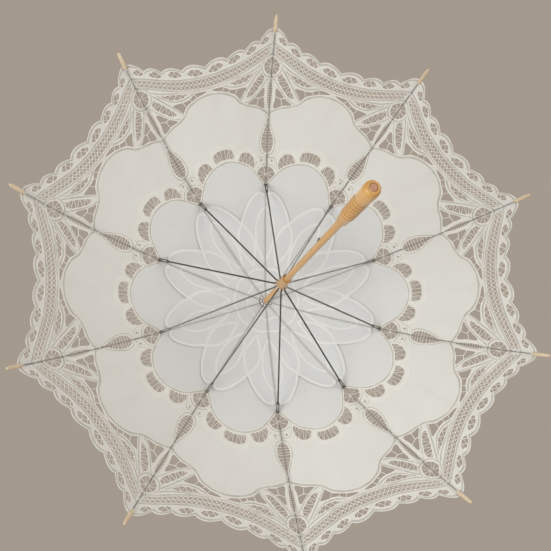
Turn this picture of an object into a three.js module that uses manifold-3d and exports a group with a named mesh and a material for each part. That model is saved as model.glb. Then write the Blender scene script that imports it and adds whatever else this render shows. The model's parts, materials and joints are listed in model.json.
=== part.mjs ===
// A folding lace parasol, open: a turned wooden stick and handle, a slotted notch at the top, a runner
// that slides on the stick, ten curved steel ribs, ten stretchers, and a lace canopy in ten wedges.
//
// Millimetres, +Z up the stick towards the ferrule. The origin is the middle of the hand grip.
// Heights named ..._DROP are measured down from the notch, where the ribs are hinged.

import * as THREE from 'three';
import { mergeVertices } from 'three/addons/utils/BufferGeometryUtils.js';
import Module from 'manifold-3d';

// ---------------------------------------------------------------- driving dimensions

const NOTCH_Z = 528;                 // rib hinges above the middle of the grip
const GAP = 0.3;                     // clearance between pieces that touch

const RIB_COUNT = 10;
const FIRST_RIB_DEG = -90;
const RIB_PIVOT_R = 7;               // circle of the notch wire
const RIB_START_DEG = 8;             // slope of a rib where it leaves the notch
const RIB_BEND_R = 785;              // radius that the open rib is bent to
const RIB_LENGTH = 443;              // along the rib, from its hinge to the end of its shank
const RIB_WIDTH = 1.8;
const RIB_HEIGHT = 2.4;
const EYE_R = 1.9;
const EYE_HOLE_R = 0.95;
const LUG_R = 2;
const LUG_HOLE_R = 1.05;

const TIP_LENGTH = 27;
const TIP_R = 2.9;
const TIP_BORE_R = 1.5;
const TIP_BORE_DEPTH = 9;
const SHANK_LENGTH = 8;              // reduced end of the rib, inside the tip
const SHANK_HEIGHT = 1.4;

const JOINT_R = 189;                 // distance of the rib-and-stretcher joint from the stick's axis
const RUNNER_DROP = 118;             // runner wire below the notch wire, open
const STRETCHER_PIVOT_R = 8.6;       // circle of the runner wire
const STRETCHER_WIDTH = 2;
const STRETCHER_HEIGHT = 2.2;
const FORK_LENGTH = 13;              // from the rivet to the fork's crotch
const FORK_EAR = 0.9;
const RIVET_R = 0.75;

const STICK_R = 4.75;
const TENON_R = 3.5;                 // turned-down top of the stick
const TENON_DROP = 8;
const TENON_TOP = 24;                // above the notch wire
const STICK_END_DROP = 500;          // inside the handle
const NECK_R = 5.2;                  // the stick swells a little just above the handle
const NECK_TOP_DROP = 436;

const NOTCH_R = 9.5;
const NOTCH_BOTTOM = -4;
const NOTCH_TOP = 3;
const RUNNER_FLANGE_R = 10.3;
const RUNNER_SLEEVE_R = 7.5;
const RUNNER_BORE_R = 5;
const RUNNER_TOP = 4;                // above the runner wire
const FLANGE_DEPTH = 7;
const RUNNER_LENGTH = 44;            // below the runner wire
const WIRE_R = 0.5;

const CATCH_DEG = 216;               // side of the stick that the two catches are on
const CATCH_LENGTH = 34;
const CATCH_WIDTH = 1.6;
const CATCH_BACK_R = 2.4;            // radial limits of the spring strip at rest
const CATCH_FACE_R = 4.4;
const NOSE_R = 7.9;
const NOSE_HEIGHT = 5.5;
const CATCH_SLOT_R = -1.8;           // bottom of the slot that the strip is pressed into
const CLOSED_TRAVEL = 256.4;         // the runner's way down to the bottom catch

const HANDLE_TOP_DROP = 455;
const HANDLE_END_DROP = 576;
const PLUG_R = 4.8;
const PLUG_DEPTH = 3;
const GROOVE_COUNT = 7;
const GROOVE_FIRST_DROP = 486;
const GROOVE_PITCH = 8.6;
const GROOVE_DEPTH = 0.5;

const FERRULE_BASE = 5.4;            // above the notch wire
const FERRULE_LENGTH = 62;
const CAP_R = 13;
const CAP_BOTTOM = 3.6;
const CAP_THICKNESS = 1.4;

const CANOPY_INNER_R = 11;
const CANOPY_RIM_R = 396;            // on a rib
const CANOPY_VALLEY_R = 384;         // the same measure on the line halfway between two ribs
const CANOPY_THICKNESS = 0.9;
const CANOPY_LIFT = 3;               // middle of the cloth above the middle of the rib
const CANOPY_STATIONS = 8;
const CANOPY_COLUMNS = 4;

// ---------------------------------------------------------------- materials

const finish = (color, roughness, metalness = 0) =>
  new THREE.MeshStandardMaterial({ color, roughness, metalness });

const WOOD = finish(0xcf9a55, 0.45);
const PALE_WOOD = finish(0xd9c39a, 0.55);
const END_GRAIN = finish(0xb87a58, 0.6);
const STEEL = finish(0x55504a, 0.4, 0.9);
const PALE_METAL = finish(0xcfc6ba, 0.35, 0.8);
const LACE = finish(0xe6e0d4, 0.9);

// ---------------------------------------------------------------- joining and cutting

const wasm = await Module();
wasm.setup();

/** A closed mesh as a solid that can be joined and cut. */
function solid(geometry) {
  const bare = geometry.clone();
  bare.deleteAttribute('normal');
  bare.deleteAttribute('uv');
  const merged = mergeVertices(bare, 1e-4);
  return new wasm.Manifold(new wasm.Mesh({
    numProp: 3,
    vertProperties: Float32Array.from(merged.attributes.position.array),
    triVerts: Uint32Array.from(merged.index.array),
  }));
}

/** A solid as a three.js geometry. */
function toGeometry(body) {
  const mesh = body.getMesh();
  const geometry = new THREE.BufferGeometry();
  geometry.setAttribute('position', new THREE.BufferAttribute(mesh.vertProperties, 3));
  geometry.setIndex(new THREE.BufferAttribute(mesh.triVerts, 1));
  geometry.computeVertexNormals();
  return geometry;
}

const join = (...pieces) => toGeometry(pieces.map(solid).reduce((a, b) => a.add(b)));

const cut = (piece, ...tools) => toGeometry(tools.map(solid).reduce((a, b) => a.subtract(b), solid(piece)));

// ---------------------------------------------------------------- shapes that are used again

const rad = THREE.MathUtils.degToRad;

/** A turned piece from [radius, height] points that start and end on the axis or close on themselves. */
function turned(points, sides) {
  const lathe = new THREE.LatheGeometry(points.map(([r, z]) => new THREE.Vector2(r, z)), sides);
  return lathe.rotateX(Math.PI / 2);
}

/** A round bar across the rib plane (along Y), centred on a point of that plane. */
function crossBar(radius, length, x, z, sides = 8) {
  return new THREE.CylinderGeometry(radius, radius, length, sides).translate(x, 0, z);
}

/** A block given by its low and high corners. */
function block([x0, y0, z0], [x1, y1, z1]) {
  const box = new THREE.BoxGeometry(x1 - x0, y1 - y0, z1 - z0);
  return box.translate((x0 + x1) / 2, (y0 + y1) / 2, (z0 + z1) / 2);
}

/** Ten radial cutters, one at each rib. */
function ribSlots(r0, r1, width, z0, z1) {
  return ribAngles().map((angle) =>
    block([r0, -width / 2, z0], [r1, width / 2, z1]).rotateZ(angle));
}

const ribAngles = () =>
  Array.from({ length: RIB_COUNT }, (_, i) => rad(FIRST_RIB_DEG + (360 / RIB_COUNT) * i));

// ---------------------------------------------------------------- the rib's line

/** Slope of the rib, in radians below level, at a distance along it. */
const ribSlope = (s) => rad(RIB_START_DEG) + s / RIB_BEND_R;

/** A point beside the rib's middle line: distance along it, and offset to its upper side. */
function besideRib(s, offset) {
  const slope = ribSlope(s);
  const start = rad(RIB_START_DEG);
  const x = RIB_PIVOT_R + RIB_BEND_R * (Math.sin(slope) - Math.sin(start));
  const z = RIB_BEND_R * (Math.cos(slope) - Math.cos(start));
  return new THREE.Vector2(x + offset * Math.sin(slope), z + offset * Math.cos(slope));
}

/** Distance along the rib at which its middle line is a given distance from the stick's axis. */
function alongRib(radius) {
  const sine = (radius - RIB_PIVOT_R) / RIB_BEND_R + Math.sin(rad(RIB_START_DEG));
  return (Math.asin(sine) - rad(RIB_START_DEG)) * RIB_BEND_R;
}

const jointPoint = besideRib(alongRib(JOINT_R), 0);
const runnerPoint = new THREE.Vector2(STRETCHER_PIVOT_R, -RUNNER_DROP);

// ---------------------------------------------------------------- frame pieces

/** One rib in the XZ plane: an eye on the notch wire, a lug with the rivet hole, and a shank for the tip. */
function ribGeometry() {
  const shankStart = RIB_LENGTH - SHANK_LENGTH;
  const steps = 8;
  const side = (offset, from, to) =>
    Array.from({ length: steps + 1 }, (_, i) => besideRib(from + ((to - from) * i) / steps, offset));
  const half = RIB_HEIGHT / 2;
  const shank = SHANK_HEIGHT / 2;
  const outline = new THREE.Shape([
    ...side(half, 0, shankStart),
    besideRib(shankStart, shank),
    besideRib(RIB_LENGTH, shank),
    besideRib(RIB_LENGTH, -shank),
    besideRib(shankStart, -shank),
    ...side(-half, shankStart, 0),
  ]);
  const bar = new THREE.ExtrudeGeometry(outline, { depth: RIB_WIDTH, bevelEnabled: false })
    .translate(0, 0, -RIB_WIDTH / 2)
    .rotateX(Math.PI / 2);
  const whole = join(
    bar,
    crossBar(EYE_R, RIB_WIDTH, RIB_PIVOT_R, 0),
    crossBar(LUG_R, RIB_WIDTH, jointPoint.x, jointPoint.y),
  );
  return cut(
    whole,
    crossBar(EYE_HOLE_R, 2 * RIB_WIDTH, RIB_PIVOT_R, 0),
    crossBar(LUG_HOLE_R, 2 * RIB_WIDTH, jointPoint.x, jointPoint.y),
  );
}

/** One stretcher in the XZ plane: an eye on the runner wire, a bar, and a fork that straddles the rib. */
function stretcherGeometry() {
  const length = jointPoint.distanceTo(runnerPoint);
  const half = STRETCHER_WIDTH / 2;
  const earIn = RIB_WIDTH / 2 + GAP + 0.05;
  const earOut = earIn + FORK_EAR;
  const end = length + 2 * RIVET_R;
  const crotch = length - FORK_LENGTH;
  const outline = new THREE.Shape([
    [0, -half], [crotch - 5, -half], [crotch - 2, -earOut], [end, -earOut], [end, -earIn],
    [crotch, -earIn], [crotch, earIn], [end, earIn], [end, earOut], [crotch - 2, earOut],
    [crotch - 5, half], [0, half],
  ].map(([x, y]) => new THREE.Vector2(x, y)));
  const bar = new THREE.ExtrudeGeometry(outline, { depth: STRETCHER_HEIGHT, bevelEnabled: false })
    .translate(0, 0, -STRETCHER_HEIGHT / 2);
  const whole = join(
    bar,
    crossBar(EYE_R - 0.2, STRETCHER_WIDTH, 0, 0),
    crossBar(RIVET_R, 2 * earOut + 0.6, length, 0, 6),
  );
  const drilled = cut(whole, crossBar(EYE_HOLE_R, 2 * STRETCHER_WIDTH, 0, 0));
  const rise = Math.atan2(jointPoint.y - runnerPoint.y, jointPoint.x - runnerPoint.x);
  return drilled.rotateY(-rise).translate(runnerPoint.x, 0, runnerPoint.y);
}

/** The turned wooden end of a rib, drilled to take its shank. */
function tipGeometry() {
  const body = turned([
    [TIP_BORE_R, 0], [2.1, 0], [2.5, 3], [TIP_R, 12], [2.7, 20], [2.1, 25.5], [1.1, TIP_LENGTH],
    [0, TIP_LENGTH], [0, TIP_BORE_DEPTH], [TIP_BORE_R, TIP_BORE_DEPTH], [TIP_BORE_R, 0],
  ], 8);
  const base = besideRib(RIB_LENGTH - SHANK_LENGTH + GAP, 0);
  const slope = ribSlope(RIB_LENGTH - SHANK_LENGTH / 2);
  return body.rotateY(Math.PI / 2 + slope).translate(base.x, 0, base.y);
}

/** The slotted ring at the top of the stick, grooved round its edge for the wire that the ribs hang on. */
function notchGeometry() {
  const groove = WIRE_R + GAP;
  const ring = turned([
    [TENON_R + GAP, NOTCH_BOTTOM], [NOTCH_R - 1, NOTCH_BOTTOM], [NOTCH_R, NOTCH_BOTTOM + 1],
    [NOTCH_R, -groove], [RIB_PIVOT_R - groove, -groove], [RIB_PIVOT_R - groove, groove],
    [NOTCH_R, groove], [NOTCH_R, NOTCH_TOP], [TENON_R + GAP, NOTCH_TOP],
    [TENON_R + GAP, NOTCH_BOTTOM],
  ], 20);
  const reach = RIB_PIVOT_R - EYE_R - GAP;
  return cut(ring, ...ribSlots(reach, NOTCH_R + 1, RIB_WIDTH + 2 * GAP, NOTCH_BOTTOM - 1, NOTCH_TOP + 1));
}

/** The sliding runner: a slotted, grooved flange over a wooden sleeve with a slit for the catches. */
function runnerGeometry() {
  const groove = WIRE_R + GAP;
  const body = turned([
    [RUNNER_BORE_R, -RUNNER_LENGTH], [RUNNER_SLEEVE_R - 0.6, -RUNNER_LENGTH],
    [RUNNER_SLEEVE_R, -RUNNER_LENGTH + 1], [RUNNER_SLEEVE_R, -FLANGE_DEPTH],
    [RUNNER_FLANGE_R, RUNNER_TOP - FLANGE_DEPTH], [RUNNER_FLANGE_R, -groove],
    [STRETCHER_PIVOT_R - groove, -groove], [STRETCHER_PIVOT_R - groove, groove],
    [RUNNER_FLANGE_R, groove], [RUNNER_FLANGE_R - 0.4, RUNNER_TOP], [RUNNER_BORE_R, RUNNER_TOP],
    [RUNNER_BORE_R, -RUNNER_LENGTH],
  ], 20);
  const reach = STRETCHER_PIVOT_R - EYE_R - GAP;
  const slitTop = 1 - FLANGE_DEPTH;
  const slit = block([RUNNER_BORE_R - 1, -1.2, 2 - RUNNER_LENGTH], [RUNNER_FLANGE_R + 1, 1.2, slitTop]);
  const slots = ribSlots(reach, RUNNER_FLANGE_R + 1, STRETCHER_WIDTH + 2 * GAP, -FLANGE_DEPTH - 1, RUNNER_TOP + 1);
  return cut(body, slit.rotateZ(rad(CATCH_DEG)), ...slots);
}

/** A ring of wire that the eyes of the ribs or stretchers hang on. */
function wireRing(radius) {
  return new THREE.TorusGeometry(radius, WIRE_R, 5, 2 * RIB_COUNT).rotateZ(rad(FIRST_RIB_DEG));
}

// ---------------------------------------------------------------- stick, handle and catches

// Each catch strip is pinned at one end. Its nose is at the other, with its square side to the runner:
// the top catch holds up the open runner, and the bottom catch holds down the closed one.
const topNoseDrop = RUNNER_DROP + RUNNER_LENGTH + GAP;
const bottomNoseDrop = RUNNER_DROP + CLOSED_TRAVEL - RUNNER_TOP - GAP;
const TOP_CATCH = { noseDrop: topNoseDrop, way: -1 };
const BOTTOM_CATCH = { noseDrop: bottomNoseDrop, way: 1 };
const pinHeight = ({ noseDrop, way }) => -noseDrop + way * (CATCH_LENGTH - 3);

/** A sprung strip with a nose, in the XZ plane. Its pin end points the way of the nose's slope. */
function catchGeometry(spec) {
  const z = (distance) => -spec.noseDrop + spec.way * distance;
  const points = [
    [CATCH_BACK_R, 0], [NOSE_R, 0], [NOSE_R, 1], [CATCH_FACE_R, NOSE_HEIGHT],
    [CATCH_FACE_R, CATCH_LENGTH], [CATCH_BACK_R, CATCH_LENGTH],
  ].map(([x, distance]) => new THREE.Vector2(x, z(distance)));
  const strip = new THREE.ExtrudeGeometry(new THREE.Shape(points), { depth: CATCH_WIDTH, bevelEnabled: false })
    .translate(0, 0, -CATCH_WIDTH / 2)
    .rotateX(Math.PI / 2);
  return cut(strip, crossBar(0.6, 2 * CATCH_WIDTH, catchPinR, pinHeight(spec)));
}

const catchPinR = (CATCH_BACK_R + CATCH_FACE_R) / 2;

/** The pin that a catch strip turns on, flush with the stick's sides. */
const catchPin = (spec) => crossBar(0.3, 6.4, catchPinR, pinHeight(spec));

/** The slot in the stick that a catch strip lies in and is pressed into. */
function catchSlot(spec) {
  const ends = [-1.2, CATCH_LENGTH + 1].map((distance) => -spec.noseDrop + spec.way * distance);
  const width = CATCH_WIDTH / 2 + GAP;
  return block([CATCH_SLOT_R, -width, Math.min(...ends)], [STICK_R + 1, width, Math.max(...ends)])
    .rotateZ(rad(CATCH_DEG));
}

/** The stick, with a turned-down top, two catch slots and the holes for their pins. */
function stickGeometry() {
  const neckEnd = HANDLE_TOP_DROP - GAP;
  const rod = turned([
    [0, -STICK_END_DROP], [STICK_R, -STICK_END_DROP], [STICK_R, -neckEnd], [NECK_R, -neckEnd],
    [STICK_R, -NECK_TOP_DROP], [STICK_R, -TENON_DROP], [TENON_R, -TENON_DROP],
    [TENON_R, TENON_TOP], [0, TENON_TOP],
  ], 20);
  const pinHole = (spec) => crossBar(0.6, 7, catchPinR, pinHeight(spec)).rotateZ(rad(CATCH_DEG));
  return cut(rod, catchSlot(TOP_CATCH), catchSlot(BOTTOM_CATCH), pinHole(TOP_CATCH), pinHole(BOTTOM_CATCH));
}

/** The turned handle: a square shoulder, a ring-grooved grip and a rounded end with a recess for the plug. */
function handleGeometry() {
  const bore = STICK_R + GAP;
  const shoulder = [[6.6, HANDLE_TOP_DROP], [7.1, 456.4], [7.5, 464], [8.4, 474], [9.2, 482]];
  const grooves = [];
  for (let i = 0; i < GROOVE_COUNT; i += 1) {
    const middle = GROOVE_FIRST_DROP + i * GROOVE_PITCH;
    const radius = 9.4 + 0.08 * i;
    grooves.push([radius, middle - 1.6], [radius - GROOVE_DEPTH, middle], [radius, middle + 1.6]);
  }
  const grip = [[10.1, 550], [10.4, 563], [10.2, 569.5], [9.4, 573.6], [7.8, 575.6], [6.4, HANDLE_END_DROP]];
  const recess = [
    [PLUG_R + GAP, HANDLE_END_DROP], [PLUG_R + GAP, HANDLE_END_DROP - PLUG_DEPTH],
    [0, HANDLE_END_DROP - PLUG_DEPTH],
  ];
  const socket = [[0, STICK_END_DROP + 1], [bore, STICK_END_DROP + 1], [bore, HANDLE_TOP_DROP]];
  const profile = [...shoulder, ...grooves, ...grip, ...recess, ...socket, shoulder[0]];
  return turned(profile.map(([r, drop]) => [r, -drop]).reverse(), 16);
}

/** The flat disc in the end of the handle. */
function plugGeometry() {
  return new THREE.CylinderGeometry(PLUG_R, PLUG_R, PLUG_DEPTH - GAP, 20)
    .rotateX(Math.PI / 2)
    .translate(0, 0, -HANDLE_END_DROP + (PLUG_DEPTH - GAP) / 2);
}

/** The turned point above the canopy, drilled for the stick's tenon. */
function ferruleGeometry() {
  const bore = TENON_R + GAP;
  const top = FERRULE_BASE + FERRULE_LENGTH;
  return turned([
    [bore, FERRULE_BASE], [7.2, FERRULE_BASE], [7.6, FERRULE_BASE + 2], [6.4, FERRULE_BASE + 5],
    [5.2, FERRULE_BASE + 8], [5.6, FERRULE_BASE + 26], [4.8, top - 14], [3.4, top - 3], [1.8, top],
    [0, top], [0, TENON_TOP + 1], [bore, TENON_TOP + 1], [bore, FERRULE_BASE],
  ], 16);
}

/** The round washer that holds the middle of the canopy down on the notch. */
function capGeometry() {
  const bore = TENON_R + GAP;
  return turned([
    [bore, CAP_BOTTOM], [CAP_R, CAP_BOTTOM], [CAP_R, CAP_BOTTOM + 0.6],
    [CAP_R - 2, CAP_BOTTOM + CAP_THICKNESS], [bore, CAP_BOTTOM + CAP_THICKNESS], [bore, CAP_BOTTOM],
  ], 20);
}

// ---------------------------------------------------------------- canopy

/**
 * One wedge of the canopy, centred on a rib in the XZ plane. Across a wedge the cloth runs straight from
 * the rib halfway to the next rib, and its rim dips between the ribs.
 */
function wedgeGeometry() {
  const box = new THREE.BoxGeometry(2, 1, 1, CANOPY_COLUMNS, CANOPY_STATIONS, 1);
  const next = rad(360 / RIB_COUNT);
  const spot = box.attributes.position;
  for (let i = 0; i < spot.count; i += 1) {
    const side = -spot.getX(i);
    const along = spot.getY(i) + 0.5;
    const skin = spot.getZ(i);
    const rim = CANOPY_VALLEY_R + (CANOPY_RIM_R - CANOPY_VALLEY_R) * (1 - Math.abs(side)) ** 2;
    const s = THREE.MathUtils.lerp(alongRib(CANOPY_INNER_R), alongRib(rim), along);
    const point = besideRib(s, CANOPY_LIFT + CANOPY_THICKNESS * skin);
    const share = Math.abs(side) / 2;
    const across = share * point.x * Math.sin(next) - Math.abs(side) * (GAP / 2 + 0.05);
    spot.setXYZ(i, point.x * (1 - share * (1 - Math.cos(next))), Math.sign(side) * across, point.y);
  }
  box.computeVertexNormals();
  return box;
}

// ---------------------------------------------------------------- assembly

const parasol = new THREE.Group();

/** Adds a named piece, turned about the stick and placed at a height from the notch. */
function add(name, geometry, material, angle = 0, height = 0) {
  const mesh = new THREE.Mesh(geometry, material);
  mesh.name = name;
  mesh.rotation.z = angle;
  mesh.position.z = NOTCH_Z + height;
  parasol.add(mesh);
}

add('stick', stickGeometry(), WOOD);
add('handle', handleGeometry(), WOOD);
add('handle_plug', plugGeometry(), END_GRAIN);
add('ferrule', ferruleGeometry(), WOOD);
add('cap', capGeometry(), PALE_METAL);
add('notch', notchGeometry(), PALE_METAL);
add('notch_wire', wireRing(RIB_PIVOT_R), STEEL);
add('runner', runnerGeometry(), WOOD, 0, -RUNNER_DROP);
add('runner_wire', wireRing(STRETCHER_PIVOT_R), STEEL, 0, -RUNNER_DROP);
add('top_catch', catchGeometry(TOP_CATCH), STEEL, rad(CATCH_DEG));
add('top_catch_pin', catchPin(TOP_CATCH), STEEL, rad(CATCH_DEG));
add('bottom_catch', catchGeometry(BOTTOM_CATCH), STEEL, rad(CATCH_DEG));
add('bottom_catch_pin', catchPin(BOTTOM_CATCH), STEEL, rad(CATCH_DEG));

const rib = ribGeometry();
const tip = tipGeometry();
const stretcher = stretcherGeometry();
const wedge = wedgeGeometry();
ribAngles().forEach((angle, i) => {
  const number = String(i + 1).padStart(2, '0');
  add(`rib_${number}`, rib, STEEL, angle);
  add(`tip_${number}`, tip, PALE_WOOD, angle);
  add(`stretcher_${number}`, stretcher, STEEL, angle);
  add(`canopy_${number}`, wedge, LACE, angle);
});

export default parasol;
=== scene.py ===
"""An open lace parasol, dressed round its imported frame.

Everything is in metres in the frame's own space: +Z runs up the stick, and the origin is the middle of the
grip. The lace is drawn flat, as half a gore on the right of its rib, in millimetres across the gore and out
from the stick. The drawing is mirrored, stretched over the curve of the ribs, and turned to each of the ribs.
"""

import json
import logging
import math
from dataclasses import dataclass, field
from enum import Enum
from functools import partial
from typing import Sequence

import bpy
import numpy as np
from mathutils import Matrix, Vector
from mathutils.geometry import delaunay_2d_cdt


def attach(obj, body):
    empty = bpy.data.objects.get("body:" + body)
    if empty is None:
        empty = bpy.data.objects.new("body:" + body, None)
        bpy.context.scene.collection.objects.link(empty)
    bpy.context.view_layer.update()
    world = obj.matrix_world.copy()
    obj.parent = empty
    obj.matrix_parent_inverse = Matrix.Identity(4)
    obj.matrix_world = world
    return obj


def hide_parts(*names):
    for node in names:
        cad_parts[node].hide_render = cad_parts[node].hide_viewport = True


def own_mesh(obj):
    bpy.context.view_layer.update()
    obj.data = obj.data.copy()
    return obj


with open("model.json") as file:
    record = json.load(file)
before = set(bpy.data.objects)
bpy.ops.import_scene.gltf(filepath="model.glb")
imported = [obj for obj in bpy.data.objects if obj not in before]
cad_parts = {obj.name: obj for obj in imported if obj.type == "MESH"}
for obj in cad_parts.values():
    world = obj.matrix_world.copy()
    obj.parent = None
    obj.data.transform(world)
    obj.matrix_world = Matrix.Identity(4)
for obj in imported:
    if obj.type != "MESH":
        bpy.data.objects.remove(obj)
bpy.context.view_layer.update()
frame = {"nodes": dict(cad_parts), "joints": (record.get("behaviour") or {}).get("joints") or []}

LOG = logging.getLogger("parasol")
MM = 0.001
HINGES = 528.0                               # height of the ribs' hinges above the grip, in millimetres
OVERLAP = 0.12                               # how far a gore runs over its middle line, in millimetres
PAST_MIDDLE = 3.0                            # how far an opening that two gores share runs over it
RIM_CROWNS = ((12.5, 402.6), (35, 393.6), (60.5, 388.2), (93, 385.6))
MAP_UNIT = 0.1                               # metres in one unit of a cloth's own map
CORD_PLACE = 0.46                            # of a tape's width, from its middle to its cords
CATCH_BEARING = math.radians(216)            # the side of the stick that both catches stand on
Point = tuple[float, float]
Line = list[Point]


# ---------------------------------------------------------------- lines of the drawing


def flowing(points: Sequence[Point], step: float = 2.5, closed: bool = False) -> Line:
    """A smooth line through given points.

    Args:
        points: Places across and out, in order.
        step: Rough distance between the points of the result.
        closed: Whether the line runs back to its start.

    Returns:
        Close points along a Catmull-Rom curve.
    """
    p = np.array(points, float)
    count = len(p)
    if closed:
        padded = np.vstack([p[-1:], p, p[:2]])
    else:
        padded = np.vstack([2 * p[0] - p[1], p, 2 * p[-1] - p[-2]])
    line: Line = []
    for i in range(count if closed else count - 1):
        a, b, c, d = padded[i:i + 4]
        parts = max(1, round(float(np.linalg.norm(c - b)) / step))
        for t in np.arange(parts) / parts:
            spot = b + 0.5 * t * (c - a + t * (2 * a - 5 * b + 4 * c - d + t * (3 * (b - c) + d - a)))
            line.append((float(spot[0]), float(spot[1])))
    if not closed:
        line.append((float(p[-1][0]), float(p[-1][1])))
    return line


def scallop(start: Point, crown: Point, end: Point, steps: int = 9) -> Line:
    """One rounded scallop.

    Args:
        start: The notch it starts from.
        crown: The place halfway along it.
        end: The next notch.
        steps: Number of points.

    Returns:
        Points from the first notch to just before the next.
    """
    a, b = np.array(start), np.array(end)
    pull = 2 * np.array(crown) - (a + b) / 2
    spots = []
    for t in np.arange(steps) / steps:
        t = 0.5 - 0.5 * math.cos(math.pi * t) if 0 < t < 1 else t
        spots.append((1 - t) ** 2 * a + 2 * t * (1 - t) * pull + t * t * b)
    return [(float(s[0]), float(s[1])) for s in spots]


def leaf(start: Point, end: Point, half_width: float, steps: int = 9, sharpness: float = 0.75) -> Line:
    """A closed oval with pointed ends.

    Args:
        start: One of its points.
        end: The other.
        half_width: Of the leaf at its widest.
        steps: Steps along each side.
        sharpness: Power of the sine that bounds it. A smaller one makes a fuller leaf.

    Returns:
        The side on the left of the way from start to end, then the other side back.
    """
    a, b = np.array(start, float), np.array(end, float)
    along = b - a
    aside = np.array([-along[1], along[0]]) / np.linalg.norm(along) * half_width
    shares = np.arange(steps + 1) / steps
    bulge = np.sin(math.pi * shares) ** sharpness
    upper = [a + s * along + w * aside for s, w in zip(shares, bulge)]
    lower = [a + s * along - w * aside for s, w in zip(shares[::-1], bulge[::-1])]
    return [(float(q[0]), float(q[1])) for q in upper + lower[1:-1]]


def mirrored(line: Line) -> Line:
    """The same line on the other side of the rib, run the other way."""
    return [(-x, r) for x, r in reversed(line)]


def over_rib(half: Line) -> Line:
    """A whole line from its right half, which starts on the rib."""
    return mirrored(half)[:-1] + list(half)


def loop_over_rib(half: Line) -> Line:
    """A closed line from its right half, which starts and ends on the rib."""
    return list(half) + mirrored(half)[1:-1]


def at_share(line: Line, share: float) -> Point:
    """The point at a share of a line's length.

    Args:
        line: The line.
        share: From 0 at its start to 1 at its end.

    Returns:
        The point.
    """
    p = np.array(line, float)
    steps = np.linalg.norm(np.diff(p, axis=0), axis=1)
    run = np.concatenate([[0], np.cumsum(steps)])
    goal = share * run[-1]
    return float(np.interp(goal, run, p[:, 0])), float(np.interp(goal, run, p[:, 1]))


def widened(loop: Line, by: float) -> Line:
    """A closed line moved outwards.

    Args:
        loop: The line, run either way round.
        by: The distance.

    Returns:
        As many points, moved.
    """
    p = np.array(loop, float)
    ahead, behind = np.roll(p, -1, axis=0), np.roll(p, 1, axis=0)
    turning = float(np.sum(p[:, 0] * ahead[:, 1] - ahead[:, 0] * p[:, 1]))
    along = ahead - behind
    along /= np.maximum(np.linalg.norm(along, axis=1, keepdims=True), 1e-9)
    aside = np.column_stack([along[:, 1], -along[:, 0]]) * math.copysign(by, turning)
    return [(float(x), float(y)) for x, y in p + aside]


def between(a: Point, b: Point, share: float) -> Point:
    """The point at a share of the way from a to b."""
    return a[0] + (b[0] - a[0]) * share, a[1] + (b[1] - a[1]) * share


def inside(points: np.ndarray, loop: Line) -> np.ndarray:
    """Which points lie inside a closed line.

    Args:
        points: An array of places, two numbers each.
        loop: The closed line.

    Returns:
        One boolean for each point.
    """
    x, y = points[:, 0], points[:, 1]
    found = np.zeros(len(points), bool)
    for (x0, y0), (x1, y1) in zip(loop, loop[1:] + loop[:1]):
        if y0 == y1:
            continue
        crosses = (y0 > y) != (y1 > y)
        found ^= crosses & (x < (x1 - x0) * (y - y0) / (y1 - y0) + x0)
    return found


# ---------------------------------------------------------------- the drawing of the lace


@dataclass
class GoreDrawing:
    """Work on one gore, in millimetres across from the rib and out from the stick.

    The right half is drawn, and every stroke is repeated on the left.
    """

    middle_slope: float                      # across over out, on the line halfway between two ribs
    tapes: list[tuple[Line, float]] = field(default_factory=list)

    def on_middle(self, out: float) -> Point:
        """The point at a distance out on the middle line, where neighbours overlap by a hair."""
        return self.middle_slope * out + OVERLAP, out

    def tape(self, path: Line, width: float = 1.0, both: bool = True) -> None:
        """Lays a tape along a path.

        Args:
            path: Its middle line.
            width: As a share of the full width.
            both: Whether it is repeated on the other side of the rib.
        """
        self.tapes.append((path, width))
        if both:
            self.tapes.append((mirrored(path), width))


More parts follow.
